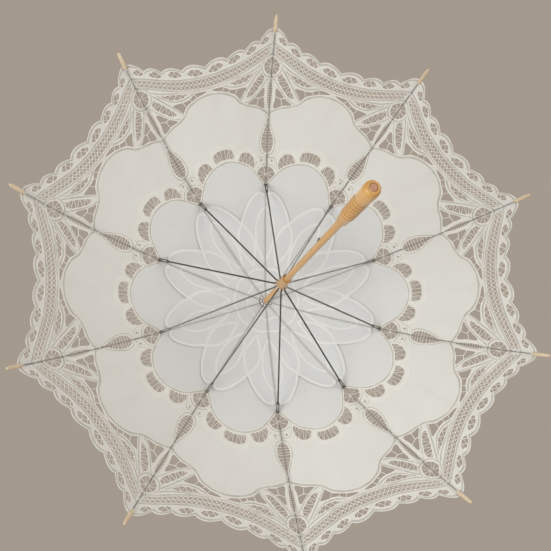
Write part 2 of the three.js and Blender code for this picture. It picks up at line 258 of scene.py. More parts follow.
@dataclass
class LaceDrawing(GoreDrawing):
    """The outer lace of one gore."""

    spread: float = 0.8                      # how far an opening runs past its line, to under the tapes
    openings: list[Line] = field(default_factory=list)
    edges: list[Line] = field(default_factory=list)
    bars: list[Line] = field(default_factory=list)
    threads: list[Line] = field(default_factory=list)

    def __post_init__(self) -> None:
        """Draws every motif, from the rim inwards."""
        self.rim_scallops()
        self.net_band()
        self.rim_web()
        self.crescent()
        self.side_leaf()
        self.centre_leaf()
        self.branched_gap()
        self.barred_gap()
        self.petal_edge()
        self.teardrop()
        self.fan()
        self.half_moons()
        self.sprig()

    # -- strokes

    def open(self, loop: Line, both: bool = True, edged: bool = True, spread: float | None = None) -> None:
        """Cuts an opening.

        Args:
            loop: The line it is drawn to.
            both: Whether it is repeated on the other side of the rib.
            edged: Whether it has a corded edge, and runs past its line.
            spread: How far it runs past its line, where that differs.
        """
        spread = self.spread if spread is None else spread
        if edged and spread:
            loop = widened(loop, spread)
        for line in [loop, mirrored(loop)] if both else [loop]:
            self.openings.append(line)
            if edged:
                self.edges.append(line + line[:1])

    def thread(self, *points: Point, both: bool = True) -> None:
        """Throws a thread through points.

        Args:
            points: Where it runs.
            both: Whether it is repeated on the other side of the rib.
        """
        self.threads.append(list(points))
        if both:
            self.threads.append(mirrored(list(points)))

    def bar(self, *points: Point) -> None:
        """Lays a corded bar through points, on both sides of the rib."""
        self.bars += [list(points), mirrored(list(points))]

    def ladder(self, side_a: Line, side_b: Line, count: int, slant: float = 0.0, both: bool = True) -> None:
        """Bars from one edge of an opening to the other.

        Args:
            side_a: One edge.
            side_b: The facing edge, run the same way.
            count: Number of bars.
            slant: How far the second end runs ahead, in bars. Alternate bars lean the other way.
            both: Whether the bars are repeated on the other side of the rib.
        """
        for i in range(count):
            share = (i + 1) / (count + 1)
            lean = slant / (count + 1) * (1 if i % 2 else -1)
            ends = min(max(share - lean, 0.02), 0.98), min(max(share + lean, 0.02), 0.98)
            a, b = at_share(side_a, ends[0]), at_share(side_b, ends[1])
            reach = self.spread / max(math.dist(a, b), 1.0)
            self.thread(between(a, b, -reach), between(a, b, 1 + reach), both=both)

    def web(self, centre: Point, loop: Line, spokes: int, ring: float, first: float = 0.0) -> None:
        """A spider's web in an opening that lies over the rib: spokes, and one ring of thread.

        Args:
            centre: Where the spokes meet.
            loop: The opening's line.
            spokes: Number of spokes.
            ring: Place of the ring, as a share of the way out along the spokes.
            first: Place of the first spoke, in spokes from the start of the line.
        """
        closed = widened(loop, self.spread)
        closed = closed + closed[:1]
        ends = [at_share(closed, ((i + first) / spokes) % 1.0) for i in range(spokes)]
        for end in ends:
            self.thread(centre, end, both=False)
        knots = [between(centre, end, ring) for end in ends]
        self.thread(*flowing(knots, 1.2, closed=True), knots[0], both=False)

    # -- motifs

    def rim_outline(self) -> Line:
        """The scalloped rim.

        Returns:
            Its points, from the rib's tip to the middle line.
        """
        corners = [(1.5, 404.5), (23.5, 391.7), (47, 385.5), (76, 381.3), self.on_middle(378.4)]
        line: Line = [(0, 404.5)]
        for start, crown, end in zip(corners, RIM_CROWNS, corners[1:]):
            line += scallop(start, crown, end)
        return line + [corners[-1]]

    def rim_scallops(self) -> None:
        """The scalloped edge tape, and a small zigzag-filled opening in each scallop."""
        inset = 2.6
        corners = [(0, 401.0), (23.5, 389.3), (47, 383.0), (76, 378.7), self.on_middle(375.9)]
        for start, crown, end in zip(corners, RIM_CROWNS, corners[1:]):
            lowered = (crown[0], crown[1] - inset)
            self.tape(scallop(start, lowered, end) + [end], 0.98)
        for start, end, half in [
            ((7.5, 394.4), (22, 388.8), 4.6), ((27.5, 387), (45.5, 380.4), 4.6),
            ((53, 380.6), (74, 375.8), 4.9), ((80.5, 375.8), (106, 372.2), 5.0),
        ]:
            loop = leaf(start, end, half, sharpness=0.55)
            self.open(loop, spread=0.0)
            upper, lower = loop[:10], [loop[0]] + loop[:9:-1] + [loop[9]]
            self.ladder(upper, lower, 4 if start[0] < 50 else 6, slant=0.9)

    def net_band(self) -> None:
        """The band of net: two rows of crossed threads with a thread between them."""
        outer = flowing([(4.4, 383.4), (14, 381.6), (37, 374.8), (62, 368.6), (90, 365.4),
                         self.on_middle(364.8)])
        inner = flowing([(5.4, 373.6), (14, 371.2), (37, 363.2), (62, 356.2), (90, 352.4),
                         self.on_middle(351.8)])
        reach = [(across + PAST_MIDDLE, out) for across, out in (outer[-1], inner[-1])]
        self.open(outer + reach + inner[::-1], edged=False)
        cells = 16
        middle = [between(at_share(outer, i / cells), at_share(inner, i / cells), 0.5)
                  for i in range(cells + 1)]
        for row in (outer, inner):
            for i in range(cells):
                near, far = at_share(row, i / cells), at_share(row, (i + 1) / cells)
                self.thread(near, middle[i + 1])
                self.thread(far, middle[i])
        self.thread(*middle)
        self.tape([(0, 386)] + [(x, r + 1.6) for x, r in outer], 0.95)
        self.tape([(0, 373.2), (4, 372)] + [(x, r - 1.6) for x, r in inner[3:]], 0.95)

    def rim_web(self) -> None:
        """The spider's web that lies over the rib, and the tape that loops round under it."""
        half = flowing([(0, 368.6), (7, 366.4), (12.3, 362), (10.8, 354.6), (5.5, 348.4), (0, 346.8)])
        loop = loop_over_rib(half)
        self.open(loop, both=False)
        self.web((0, 358), loop, 10, 0.3, 0.5)
        bend = flowing([(5, 371), (14.5, 366.8), (17, 360), (14, 352), (8, 346), (0, 343.4)])
        self.tape(over_rib(bend[::-1]), 0.9, both=False)

    def crescent(self) -> None:
        """The slim crescent under the net band, between two tapes."""
        top = flowing([(29, 354.6), (40, 353.2), (52, 351.6), (62, 350.4), (70, 349.2)])
        low = flowing([(29, 354.6), (37, 348.4), (48, 345.4), (60, 345.8), (70, 349.2)])
        self.open(top + low[-2:0:-1])
        self.ladder(top, low, 9, slant=0.5)
        self.tape(flowing([(12.5, 365.4), (22, 361), (31, 357.6), (45, 354.9), (60, 352.2), (72, 350.6),
                           (88, 349.9), self.on_middle(349.4)]), 0.9)
        self.tape(flowing([(24, 356.8), (33, 349), (41, 344), (48, 342.4), (60, 342.8), (69, 345.2),
                           (78, 348.4)]), 0.92)

    def side_leaf(self) -> None:
        """The slanting leaf beside the rib, with bars across it."""
        upper = flowing([(16, 351.6), (25, 343.6), (33, 334.4), (39.2, 325.6)])
        lower = flowing([(16, 351.6), (12.2, 346), (12.4, 340.8), (18.6, 334), (25.6, 328), (33, 323.6),
                         (39.2, 325.6)])
        self.open(upper + lower[-2:0:-1])
        self.ladder(upper, lower, 9, slant=0.25)
        self.tape(flowing([(17.5, 358), (27, 348.4), (36, 338), (44, 328.4), (49.5, 320.6)]), 1.0)
        self.tape(flowing([(4.5, 343.4), (9, 338.2), (15, 332.2), (23, 325.2), (32, 319.6), (41, 317.2)]),
                  0.95)

    def centre_leaf(self) -> None:
        """The narrow leaf that lies along the rib."""
        loop = loop_over_rib(flowing([(0, 338), (3.4, 331), (3.6, 322), (2.6, 311), (0, 300)]))
        self.open(loop, both=False)
        right = [p for p in loop if p[0] > 0.01]
        self.ladder(right, [(-x, r) for x, r in right], 10, both=False)
        self.tape(flowing([(8.4, 341), (6.6, 331), (5.8, 320), (4.4, 309), (1.6, 297)]), 0.68)

    def branched_gap(self) -> None:
        """The three-cornered gap between the leaves, with a branched bar."""
        loop = flowing([(10.6, 331), (23, 322.6), (35.5, 315.6), (22, 311), (8, 303.6), (9.6, 317)],
                       closed=True)
        self.open(loop)
        hub = (18.5, 319)
        for end in ((9.6, 319.6), (20.6, 310.6), (24.6, 321.6)):
            self.bar(hub, end)

    def barred_gap(self) -> None:
        """The long gap between the petal and the rim tapes, crossed by a few bars."""
        top = [(39.6, 338.4)] + flowing([(46, 338.6), (60, 339), (70, 341.8), (80, 346.8), (98, 347)])
        low = flowing([(48.4, 323), (58, 332.6), (70, 338), (80, 341.8), (92, 344.6), (98, 347)])
        self.open([(48.4, 323)] + [(39.6, 338.4)] + top[1:] + low[-2:0:-1])
        for x_low, x_top in ((57, 56), (69, 67), (81, 78)):
            low_end = min(low, key=lambda p: abs(p[0] - x_low))
            top_end = min(top, key=lambda p: abs(p[0] - x_top))
            self.bar(low_end, top_end)

    def petal_edge(self) -> None:
        """The tape that edges the plain cotton petals, a point on each rib."""
        self.tape(flowing([(0, 293), (6, 298.6), (20, 306.6), (35, 312.4), (48, 319), (59, 328.8),
                           (70, 334.8), (84, 339.6), self.on_middle(341.6)]), 0.98)

    def teardrop(self) -> None:
        """The drop-shaped opening on the rib, with a herringbone of bars."""
        half = flowing([(0, 281), (4.6, 272.6), (8.4, 263), (9.6, 254.6), (8, 245.6), (4.4, 239.4), (0, 237)])
        self.open(loop_over_rib(half), both=False)
        for i in range(9):
            out = 275 - 4.2 * i
            edge = min(half, key=lambda p: abs(p[1] - out))
            self.thread((0, out - 2.6), between((0, out - 2.6), edge, 1.06))
        bend = flowing([(0, 286), (4.4, 280), (9, 270), (12.6, 260), (12.9, 251), (9.8, 241), (5, 235.4),
                        (0, 233.4)])
        self.tape(bend, 0.78)

    def fan(self) -> None:
        """The small fan on the rib, and the crossing tapes above it."""
        half = flowing([(0, 216.4), (6, 216.4), (11, 214.6), (14.4, 208.6), (9, 201), (0, 189.6)])
        loop = loop_over_rib(half)
        self.open(loop, both=False)
        self.web((0, 204.5), loop, 9, 0.24, 0.5)
        self.open(flowing([(8.2, 225.6), (10.4, 227), (9.4, 229.6), (7.4, 228.2)], 1.2, True))
        self.tape(flowing([(0, 231.6), (6, 231), (13, 233), (17, 226), (18, 219)]), 0.8)
        self.tape(flowing([(0, 219.4), (8, 220), (15, 217.6), (18.6, 212.4)]), 0.8)

    def half_moons(self) -> None:
        """Three barred half moons in each gore, standing on the edge of the inner lobe."""
        base = flowing([(21, 217.4), (28, 224.4), (36, 230), (47.6, 235.6)])
        arch = flowing([(21, 217.4), (20.6, 228), (26.2, 238.6), (35.6, 245.2), (44.4, 244), (47.6, 235.6)])
        self.open(arch + base[-2:0:-1])
        self.ladder(base, arch, 9, slant=0.3)
        self.tape(flowing([(17.8, 214), (16.8, 227), (21.8, 240.4), (31.8, 248.8), (44.4, 249.2), (50.8, 242),
                           (51.8, 236.4)]), 0.72)
        edge = self.on_middle(242.8)
        base = flowing([(55.6, 239.4), (62, 241.8), edge])
        arch = flowing([(55.6, 239.4), (56, 249), (61.4, 255.4), (68, 257.8), self.on_middle(258.4)])
        beyond = [(across + PAST_MIDDLE, out) for across, out in (arch[-1], edge)]
        self.open(arch + beyond + base[:0:-1], edged=False)
        self.edges += [arch, mirrored(arch), base, mirrored(base)]
        self.ladder(base, arch, 6, slant=0.3)
        self.tape(flowing([(51.6, 237), (51.8, 248), (56.6, 257.6), (66, 262.4), self.on_middle(263)]), 0.72)
        self.tape(self.lobe_top(), 0.85)

    def sprig(self) -> None:
        """The small embroidered sprig in the middle of a petal's half."""
        self.thread(*flowing([(47, 268), (46, 276), (42.5, 284), (44, 292)], 3))
        for start, end in (((44, 292), (45, 302)), ((42.6, 284), (36, 290)), ((46, 276), (53.5, 281)),
                           ((46.4, 272), (40, 274.5))):
            loop = leaf(start, end, 1.7, 5)
            self.thread(*loop, loop[0])

    def lobe_top(self) -> Line:
        """The outer edge of the inner lobes, from the rib to the middle line."""
        return flowing([(0, 184.6), (5, 191), (11, 199.4), (20, 211.6), (32, 223.6), (46, 231.8), (58, 236.4),
                        self.on_middle(238.2)])

    def cloth_outline(self) -> Line:
        """The whole outline of the outer lace of a gore.

        Returns:
            A closed line: rim, middle line and lobe edge on the right, and the same on the left.
        """
        half = self.rim_outline()
        lobe = self.lobe_top()
        side = [self.on_middle(out) for out in np.linspace(half[-1][1], lobe[-1][1], 22)[1:-1]]
        right = half + side + lobe[::-1]
        return right + mirrored(right)[1:-1]


@dataclass
class RosetteDrawing(GoreDrawing):
    """The faint tape rosette of the middle, sewn to the sheer lining."""

    def __post_init__(self) -> None:
        """Draws the arches and the loops of the rosette."""
        mid = self.on_middle
        self.tape(flowing([(2.5, 172), (7, 177), (13, 178.6), (21, 175.6), (28, 168), (34, 158), (37.5, 149),
                           mid(138)]))
        self.tape(flowing([(0, 154), (8, 148), (15, 132), (15, 112), (10, 88), (0, 66)]), 0.85)
        self.tape(flowing([mid(138), (31, 128), (21, 112), (16, 92), mid(64)]), 0.85)
        self.tape(flowing([(0, 52), (7, 55), mid(58)]), 0.8)
        self.tape(flowing([(0, 33), (5, 33), mid(31.6)]), 0.7)

    def lining_top(self) -> Line:
        """The outer edge of the sheer lining, from the rib to the middle line."""
        return flowing([(0, 171), (7, 178.5), (13, 180), (22, 176.8), (29.6, 168.6), (36, 158),
                        self.on_middle(140)])


# ---------------------------------------------------------------- the curve of the canopy


@dataclass(frozen=True)
class CanopyCurve:
    """The surface that the ribs stretch the lace over, and where each rib stands."""

    pivot_radius: float
    hinge_height: float
    angles: tuple[float, ...]
    start_slope: float = math.radians(8)
    bend_radius: float = 0.785
    cloth_lift: float = 0.0026               # middle of the cloth above the middle of a rib
    wave_across: float = 0.0005              # heights of the cloth's soft waves
    wave_out: float = 0.0006
    wave_lift: float = 0.00035

    @classmethod
    def from_frame(cls) -> "CanopyCurve":
        """Reads the hinges of the ribs from the frame.

        Returns:
            The curve, with its hinges where the frame has them.
        """
        hinges = [j["pos_m"] for j in frame["joints"] if j["name"].startswith("rib_hinge")]
        angles = tuple(math.atan2(y, x) for x, y, _ in hinges)
        x, y, z = hinges[0]
        return cls(math.hypot(x, y), z, angles)

    @property
    def gore_angle(self) -> float:
        """Angle between two ribs."""
        return 2 * math.pi / len(self.angles)

    @property
    def middle_slope(self) -> float:
        """Across over out on the line halfway between two ribs."""
        return math.sin(self.gore_angle) / 2

    def slope(self, out: np.ndarray) -> np.ndarray:
        """Slope of the rib below level, where it is this far from the stick."""
        return np.arcsin((out - self.pivot_radius) / self.bend_radius + math.sin(self.start_slope))

    def along(self, out: float) -> float:
        """Length of the rib from its hinge to this distance from the stick."""
        return float(self.slope(np.array(out)) - self.start_slope) * self.bend_radius

    def out_at(self, along: np.ndarray) -> np.ndarray:
        """Distance from the stick at a length along the rib."""
        slope = self.start_slope + along / self.bend_radius
        return self.pivot_radius + self.bend_radius * (np.sin(slope) - math.sin(self.start_slope))

    def rib_point(self, along: np.ndarray, offset: float | np.ndarray) -> np.ndarray:
        """Places beside a rib's middle line, in the plane of the rib.

        Args:
            along: Lengths along the rib from its hinge.
            offset: How far above the rib, square to it.

        Returns:
            Distance from the stick and height, one row for each length.
        """
        slope = self.start_slope + along / self.bend_radius
        out = self.out_at(along) + offset * np.sin(slope)
        rise = self.bend_radius * (np.cos(slope) - math.cos(self.start_slope)) + offset * np.cos(slope)
        return np.stack([out, self.hinge_height + rise], -1)

    def stretched(self, flat: np.ndarray, index: int) -> np.ndarray:
        """Stretches flat work over the gore of one rib.

        Args:
            flat: One row for each point: across, out, and lift off the middle of the cloth.
            index: Which rib, from 0.

        Returns:
            The places in the frame's space.
        """
        across, out, lift = (np.array(column, float) for column in flat.T)
        turn = self.angles[index]
        bearing = turn - np.arctan2(across, out)
        spare = 1 - np.abs(across) / (self.middle_slope * out)
        across += (self.wave_across * np.sin(5 * bearing + out / 0.023) * np.clip(spare, 0, 1)
                   * np.sin(out / 0.06))
        out = out + self.wave_out * np.sin(7 * bearing + out / 0.031) * np.clip((out - 0.03) / 0.1, 0, 1)
        waves = self.wave_lift * np.sin(19 * bearing + out / 0.05) * np.sin(out / 0.021)
        lift = lift + self.cloth_lift + waves
        slope = self.slope(out)
        radial = out + lift * np.sin(slope)
        rise = self.bend_radius * (np.cos(slope) - math.cos(self.start_slope)) + lift * np.cos(slope)
        share = np.abs(across) / (out * math.sin(self.gore_angle))
        x = radial * (1 - share * (1 - math.cos(self.gore_angle)))
        y = -across * radial / out
        return np.stack([
            x * math.cos(turn) - y * math.sin(turn),
            x * math.sin(turn) + y * math.cos(turn),
            self.hinge_height + rise,
        ], -1)


# ---------------------------------------------------------------- finishes


def feed(tree: bpy.types.NodeTree, socket: bpy.types.NodeSocket, value: object) -> None:
    """Links an output to an input socket, or sets the input to a plain value.

    Args:
        tree: The tree that holds the node.
        socket: The input.
        value: An output socket of the same tree, or a value.
    """
    if isinstance(value, bpy.types.NodeSocket):
        tree.links.new(value, socket)
    else:
        socket.default_value = value


def add_node(tree: bpy.types.NodeTree, kind: str, inputs: dict[str | int, object] | None = None,
             **settings: object) -> bpy.types.Node:
    """Adds a node to a tree.

    Args:
        tree: The tree.
        kind: The node's type.
        inputs: A value, or an output socket to link, for each named or numbered input.
        settings: The node's own properties.

    Returns:
        The new node.
    """
    node = tree.nodes.new(kind)
    for key, value in settings.items():
        setattr(node, key, value)
    for key, value in (inputs or {}).items():
        feed(tree, node.inputs[key], value)
    return node


class NodeDesk:
    """A new node material, with short ways to add nodes, link them and set the shader."""

    def __init__(self, name: str) -> None:
        """Starts a material that holds one Principled shader.

        Args:
            name: The material's name.
        """
        self.material = bpy.data.materials.new(name)
        self.material.use_nodes = True
        self.tree = self.material.node_tree
        self.shader = self.tree.nodes["Principled BSDF"]

    def add(self, kind: str, inputs: dict[str | int, object] | None = None,
            **settings: object) -> bpy.types.Node:
        """Adds a node to the material, as add_node does."""
        return add_node(self.tree, kind, inputs, **settings)

    def math(self, operation: str, *values: object) -> bpy.types.NodeSocket:
        """The output of a Math node."""
        return self.add("ShaderNodeMath", dict(enumerate(values)), operation=operation).outputs[0]

    def blend(self, share: object, first: object, second: object) -> bpy.types.NodeSocket:
        """A colour between two."""
        return self.add("ShaderNodeMix", {0: share, 6: first, 7: second}, data_type="RGBA").outputs[2]

    def noise(self, vector: bpy.types.NodeSocket, scale: float, detail: float = 3.0,
              stretch: tuple[float, float, float] = (1, 1, 1)) -> bpy.types.NodeSocket:
        """Noise on a stretched vector.

        Args:
            vector: Where the noise is looked up.
            scale: Its fineness.
            detail: Its number of octaves.
            stretch: What the vector is multiplied by first.

        Returns:
            The noise, between 0 and 1.
        """
        mapping = self.add("ShaderNodeMapping", {"Vector": vector, "Scale": stretch})
        texture = self.add("ShaderNodeTexNoise", {"Vector": mapping.outputs[0], "Scale": scale,
                                                  "Detail": detail, "Roughness": 0.55})
        return texture.outputs["Fac"]

    def ramp(self, value: bpy.types.NodeSocket, low: float, high: float) -> bpy.types.NodeSocket:
        """A value stretched from low..high to 0..1."""
        return self.add("ShaderNodeMapRange", {"Value": value, "From Min": low, "From Max": high}).outputs[0]

    def set(self, **values: object) -> None:
        """Sets or links the shader's inputs, with underscores for spaces."""
        for key, value in values.items():
            feed(self.tree, self.shader.inputs[key.replace("_", " ")], value)

    def bump(self, height: bpy.types.NodeSocket, depth: float, strength: float = 1.0) -> None:
        """Raises the surface by a height between 0 and 1 times depth, in metres."""
        node = self.add("ShaderNodeBump", {"Height": height, "Distance": depth, "Strength": strength})
        self.set(Normal=node.outputs["Normal"])


Colour = tuple[float, float, float, float]
Cut = tuple[tuple[float, float], float]


@dataclass(frozen=True)
class ClothFinish:
    """Woven cotton, with the weave on the cloth's own map."""

    name: str
    colour: Colour
    shade: Colour
    thread_pitch: float = 0.45 * MM
    weave_depth: float = 0.05 * MM
    roughness: float = 0.85
    opacity: float = 1.0

    def made(self) -> bpy.types.Material:
        """Builds the material.

        Returns:
            The material.
        """
        desk = NodeDesk(self.name)
        own_map = desk.add("ShaderNodeTexCoord").outputs["UV"]
        parts = desk.add("ShaderNodeSeparateXYZ", {0: own_map})
        turns = 2 * math.pi * MAP_UNIT / self.thread_pitch
        warp = desk.math("SINE", desk.math("MULTIPLY", parts.outputs[0], turns))
        weft = desk.math("SINE", desk.math("MULTIPLY", parts.outputs[1], turns))
        weave = desk.math("MULTIPLY_ADD", desk.math("MULTIPLY", warp, weft), 0.5, 0.5)
        slub = desk.noise(own_map, 6.0, 2.0, (60.0, 2.2, 1.0))
        crease = desk.noise(own_map, 1.1, 3.0, (2.0, 0.9, 1.0))
        uneven = desk.math("MULTIPLY_ADD", slub, 0.45, desk.math("MULTIPLY", crease, 0.55))
        share = desk.ramp(uneven, 0.34, 0.66)
        desk.set(Base_Color=desk.blend(share, self.shade, self.colour), Roughness=self.roughness)
        desk.set(Sheen_Weight=0.25, Sheen_Roughness=0.5, Specular_IOR_Level=0.25, Alpha=self.opacity)
        desk.bump(desk.math("MULTIPLY_ADD", crease, 3.0, weave), self.weave_depth, 0.6)
        return desk.material


@dataclass(frozen=True)
class TapeFinish:
    """Corded cotton tape or thread, with a fine braid along it on its own map, painted darker in the braid's
    hollows as painted shade, and with random grime.
    """

    name: str
    colour: Colour
    shade: Colour
    braid_pitch: float = 1.1 * MM
    roughness: float = 0.8

    def made(self) -> bpy.types.Material:
        """Builds the material.

        Returns:
            The material.
        """
        desk = NodeDesk(self.name)
        own_map = desk.add("ShaderNodeTexCoord").outputs["UV"]
        parts = desk.add("ShaderNodeSeparateXYZ", {0: own_map})
        turns = 2 * math.pi * MAP_UNIT / self.braid_pitch
        side = desk.math("ABSOLUTE", parts.outputs[1])
        slanted = desk.math("ADD", parts.outputs[0], side)
        braid = desk.math("MULTIPLY_ADD", desk.math("SINE", desk.math("MULTIPLY", slanted, turns)), 0.5, 0.5)
        grime = desk.noise(desk.add("ShaderNodeTexCoord").outputs["Object"], 60.0, 3.0)
        # The colour follows the braid's bump and is darker in its hollows, which is painted shade, mixed with
        # random grime.
        share = desk.ramp(desk.math("MULTIPLY_ADD", braid, 0.3, grime), 0.4, 0.9)
        desk.set(Base_Color=desk.blend(share, self.shade, self.colour), Roughness=self.roughness)
        desk.set(Sheen_Weight=0.3, Sheen_Roughness=0.4, Specular_IOR_Level=0.3)
        desk.bump(braid, 0.12 * MM, 0.5)
        return desk.material


@dataclass(frozen=True)
class WoodFinish:
    """Turned wood with its grain along Z, under a thin varnish."""

    name: str
    colour: Colour
    grain: Colour
    varnish: float = 0.5
    roughness: float = 0.4
    collar: Colour | None = None             # enamel on the part above collar_height
    collar_height: float = 0.0

    def made(self) -> bpy.types.Material:
        """Builds the material.

        Returns:
            The material.
        """
        desk = NodeDesk(self.name)
        place = desk.add("ShaderNodeTexCoord").outputs["Object"]
        streaks = desk.noise(place, 60.0, 4.0, (9.0, 9.0, 0.35))
        pores = desk.noise(place, 300.0, 2.0, (8.0, 8.0, 0.5))
        clouds = desk.noise(place, 22.0, 2.0)
        mixed = desk.math("MULTIPLY_ADD", clouds, 0.5, desk.math("MULTIPLY", streaks, 0.6))
        share = desk.ramp(mixed, 0.4, 0.7)
        base = desk.blend(share, self.grain, self.colour)
        fleck = desk.ramp(pores, 0.6, 0.72)
        dark = desk.blend(desk.math("MULTIPLY", fleck, 0.35), base, self.grain)
        if self.collar:
            height = desk.add("ShaderNodeSeparateXYZ", {0: place}).outputs[2]
            above = desk.math("GREATER_THAN", height, self.collar_height)
            dark = desk.blend(above, dark, self.collar)
        desk.set(Base_Color=dark, Roughness=self.roughness, Coat_Weight=self.varnish, Coat_Roughness=0.2)
        desk.bump(streaks, 0.15 * MM, 0.35)
        return desk.material


@dataclass(frozen=True)
class MetalFinish:
    """Drawn or plated metal, with dull patches."""

    name: str
    colour: Colour
    dull: Colour
    roughness: float = 0.35
    metallic: float = 0.9
    pale_near_stick: Colour | None = None             # paler colour near the stick
    pale_reach: float = 0.19                  # distance from the stick

    def made(self) -> bpy.types.Material:
        """Builds the material.

        Returns:
            The material.
        """
        desk = NodeDesk(self.name)
        place = desk.add("ShaderNodeTexCoord").outputs["Object"]
        patches = desk.ramp(desk.noise(place, 90.0, 4.0), 0.35, 0.7)
        scratches = desk.noise(place, 900.0, 2.0)
        colour = desk.blend(patches, self.dull, self.colour)
        # Paler colour within a set distance of the stick.
        if self.pale_near_stick:
            level = desk.add("ShaderNodeVectorMath", {0: place, 1: (1, 1, 0)}, operation="MULTIPLY")
            out = desk.add("ShaderNodeVectorMath", {0: level.outputs[0]}, operation="LENGTH").outputs["Value"]
            colour = desk.blend(desk.ramp(out, self.pale_reach - 0.02, self.pale_reach), self.pale_near_stick, colour)
        desk.set(Base_Color=colour, Metallic=self.metallic)
        desk.set(Roughness=desk.math("MULTIPLY_ADD", patches, -0.12, self.roughness + 0.08))
        desk.bump(scratches, 0.02 * MM, 0.4)
        return desk.material


PETAL_COTTON = ClothFinish("petal cotton", (0.80, 0.79, 0.755, 1), (0.75, 0.735, 0.70, 1))
LOBE_COTTON = ClothFinish("lobe cotton", (0.755, 0.753, 0.743, 1), (0.715, 0.713, 0.703, 1))
LINING = ClothFinish("sheer lining", (0.835, 0.84, 0.84, 1), (0.80, 0.805, 0.81, 1), 0.4 * MM, 0.03 * MM, 0.8,
                     0.88)
# The tape's strip is painted darker than its cords and the cloth: painted shade between the cords and along
# the tape's edges.
TAPE = TapeFinish("lace tape", (0.66, 0.64, 0.60, 1), (0.48, 0.46, 0.415, 1))
ROSETTE_TAPE = TapeFinish("rosette tape", (0.845, 0.845, 0.835, 1), (0.815, 0.815, 0.805, 1))
THREAD = TapeFinish("lace cord", (0.95, 0.92, 0.865, 1), (0.86, 0.82, 0.75, 1), 0.8 * MM)
HONEY_WOOD = WoodFinish("honey wood", (0.75, 0.422, 0.13, 1), (0.61, 0.312, 0.08, 1))
# The handle's grooves are painted darker: painted shade in the grooves.
GROOVE_PAINTED_SHADE = WoodFinish("groove shade", (0.58, 0.31, 0.10, 1), (0.48, 0.24, 0.07, 1), 0.2)
RUNNER_WOOD = WoodFinish("runner wood", (0.63, 0.38, 0.15, 1), (0.52, 0.29, 0.10, 1), 0.4, 0.45,
                         (0.68, 0.54, 0.44, 1), 0.4026)
PALE_WOOD = WoodFinish("pale wood", (0.79, 0.65, 0.47, 1), (0.70, 0.54, 0.36, 1), 0.1, 0.55)
END_WOOD = WoodFinish("end grain", (0.62, 0.32, 0.19, 1), (0.50, 0.24, 0.14, 1), 0.3)
DARK_STEEL = MetalFinish("dark steel", (0.20, 0.19, 0.175, 1), (0.11, 0.10, 0.09, 1), 0.38)
# Paler near the stick.
RIB_STEEL = MetalFinish("rib steel", (0.31, 0.295, 0.27, 1), (0.19, 0.18, 0.165, 1), 0.42, 0.5,
                        (0.55, 0.53, 0.50, 1))
PALE_METAL = MetalFinish("pale metal", (0.93, 0.92, 0.92, 1), (0.80, 0.79, 0.79, 1), 0.28, 0.3)


# ---------------------------------------------------------------- meshes from paths and drawings


def placed(name: str, data: bpy.types.ID) -> bpy.types.Object:
    """A new object in the scene.

    Args:
        name: Its name.
        data: The mesh, curve, light or camera that it shows.

    Returns:
        The object.
    """
    thing = bpy.data.objects.new(name, data)
    bpy.context.scene.collection.objects.link(thing)
    return thing


class Section(Enum):
    """What is swept along a path."""

    THREAD = "thread"
    TAPE = "tape"


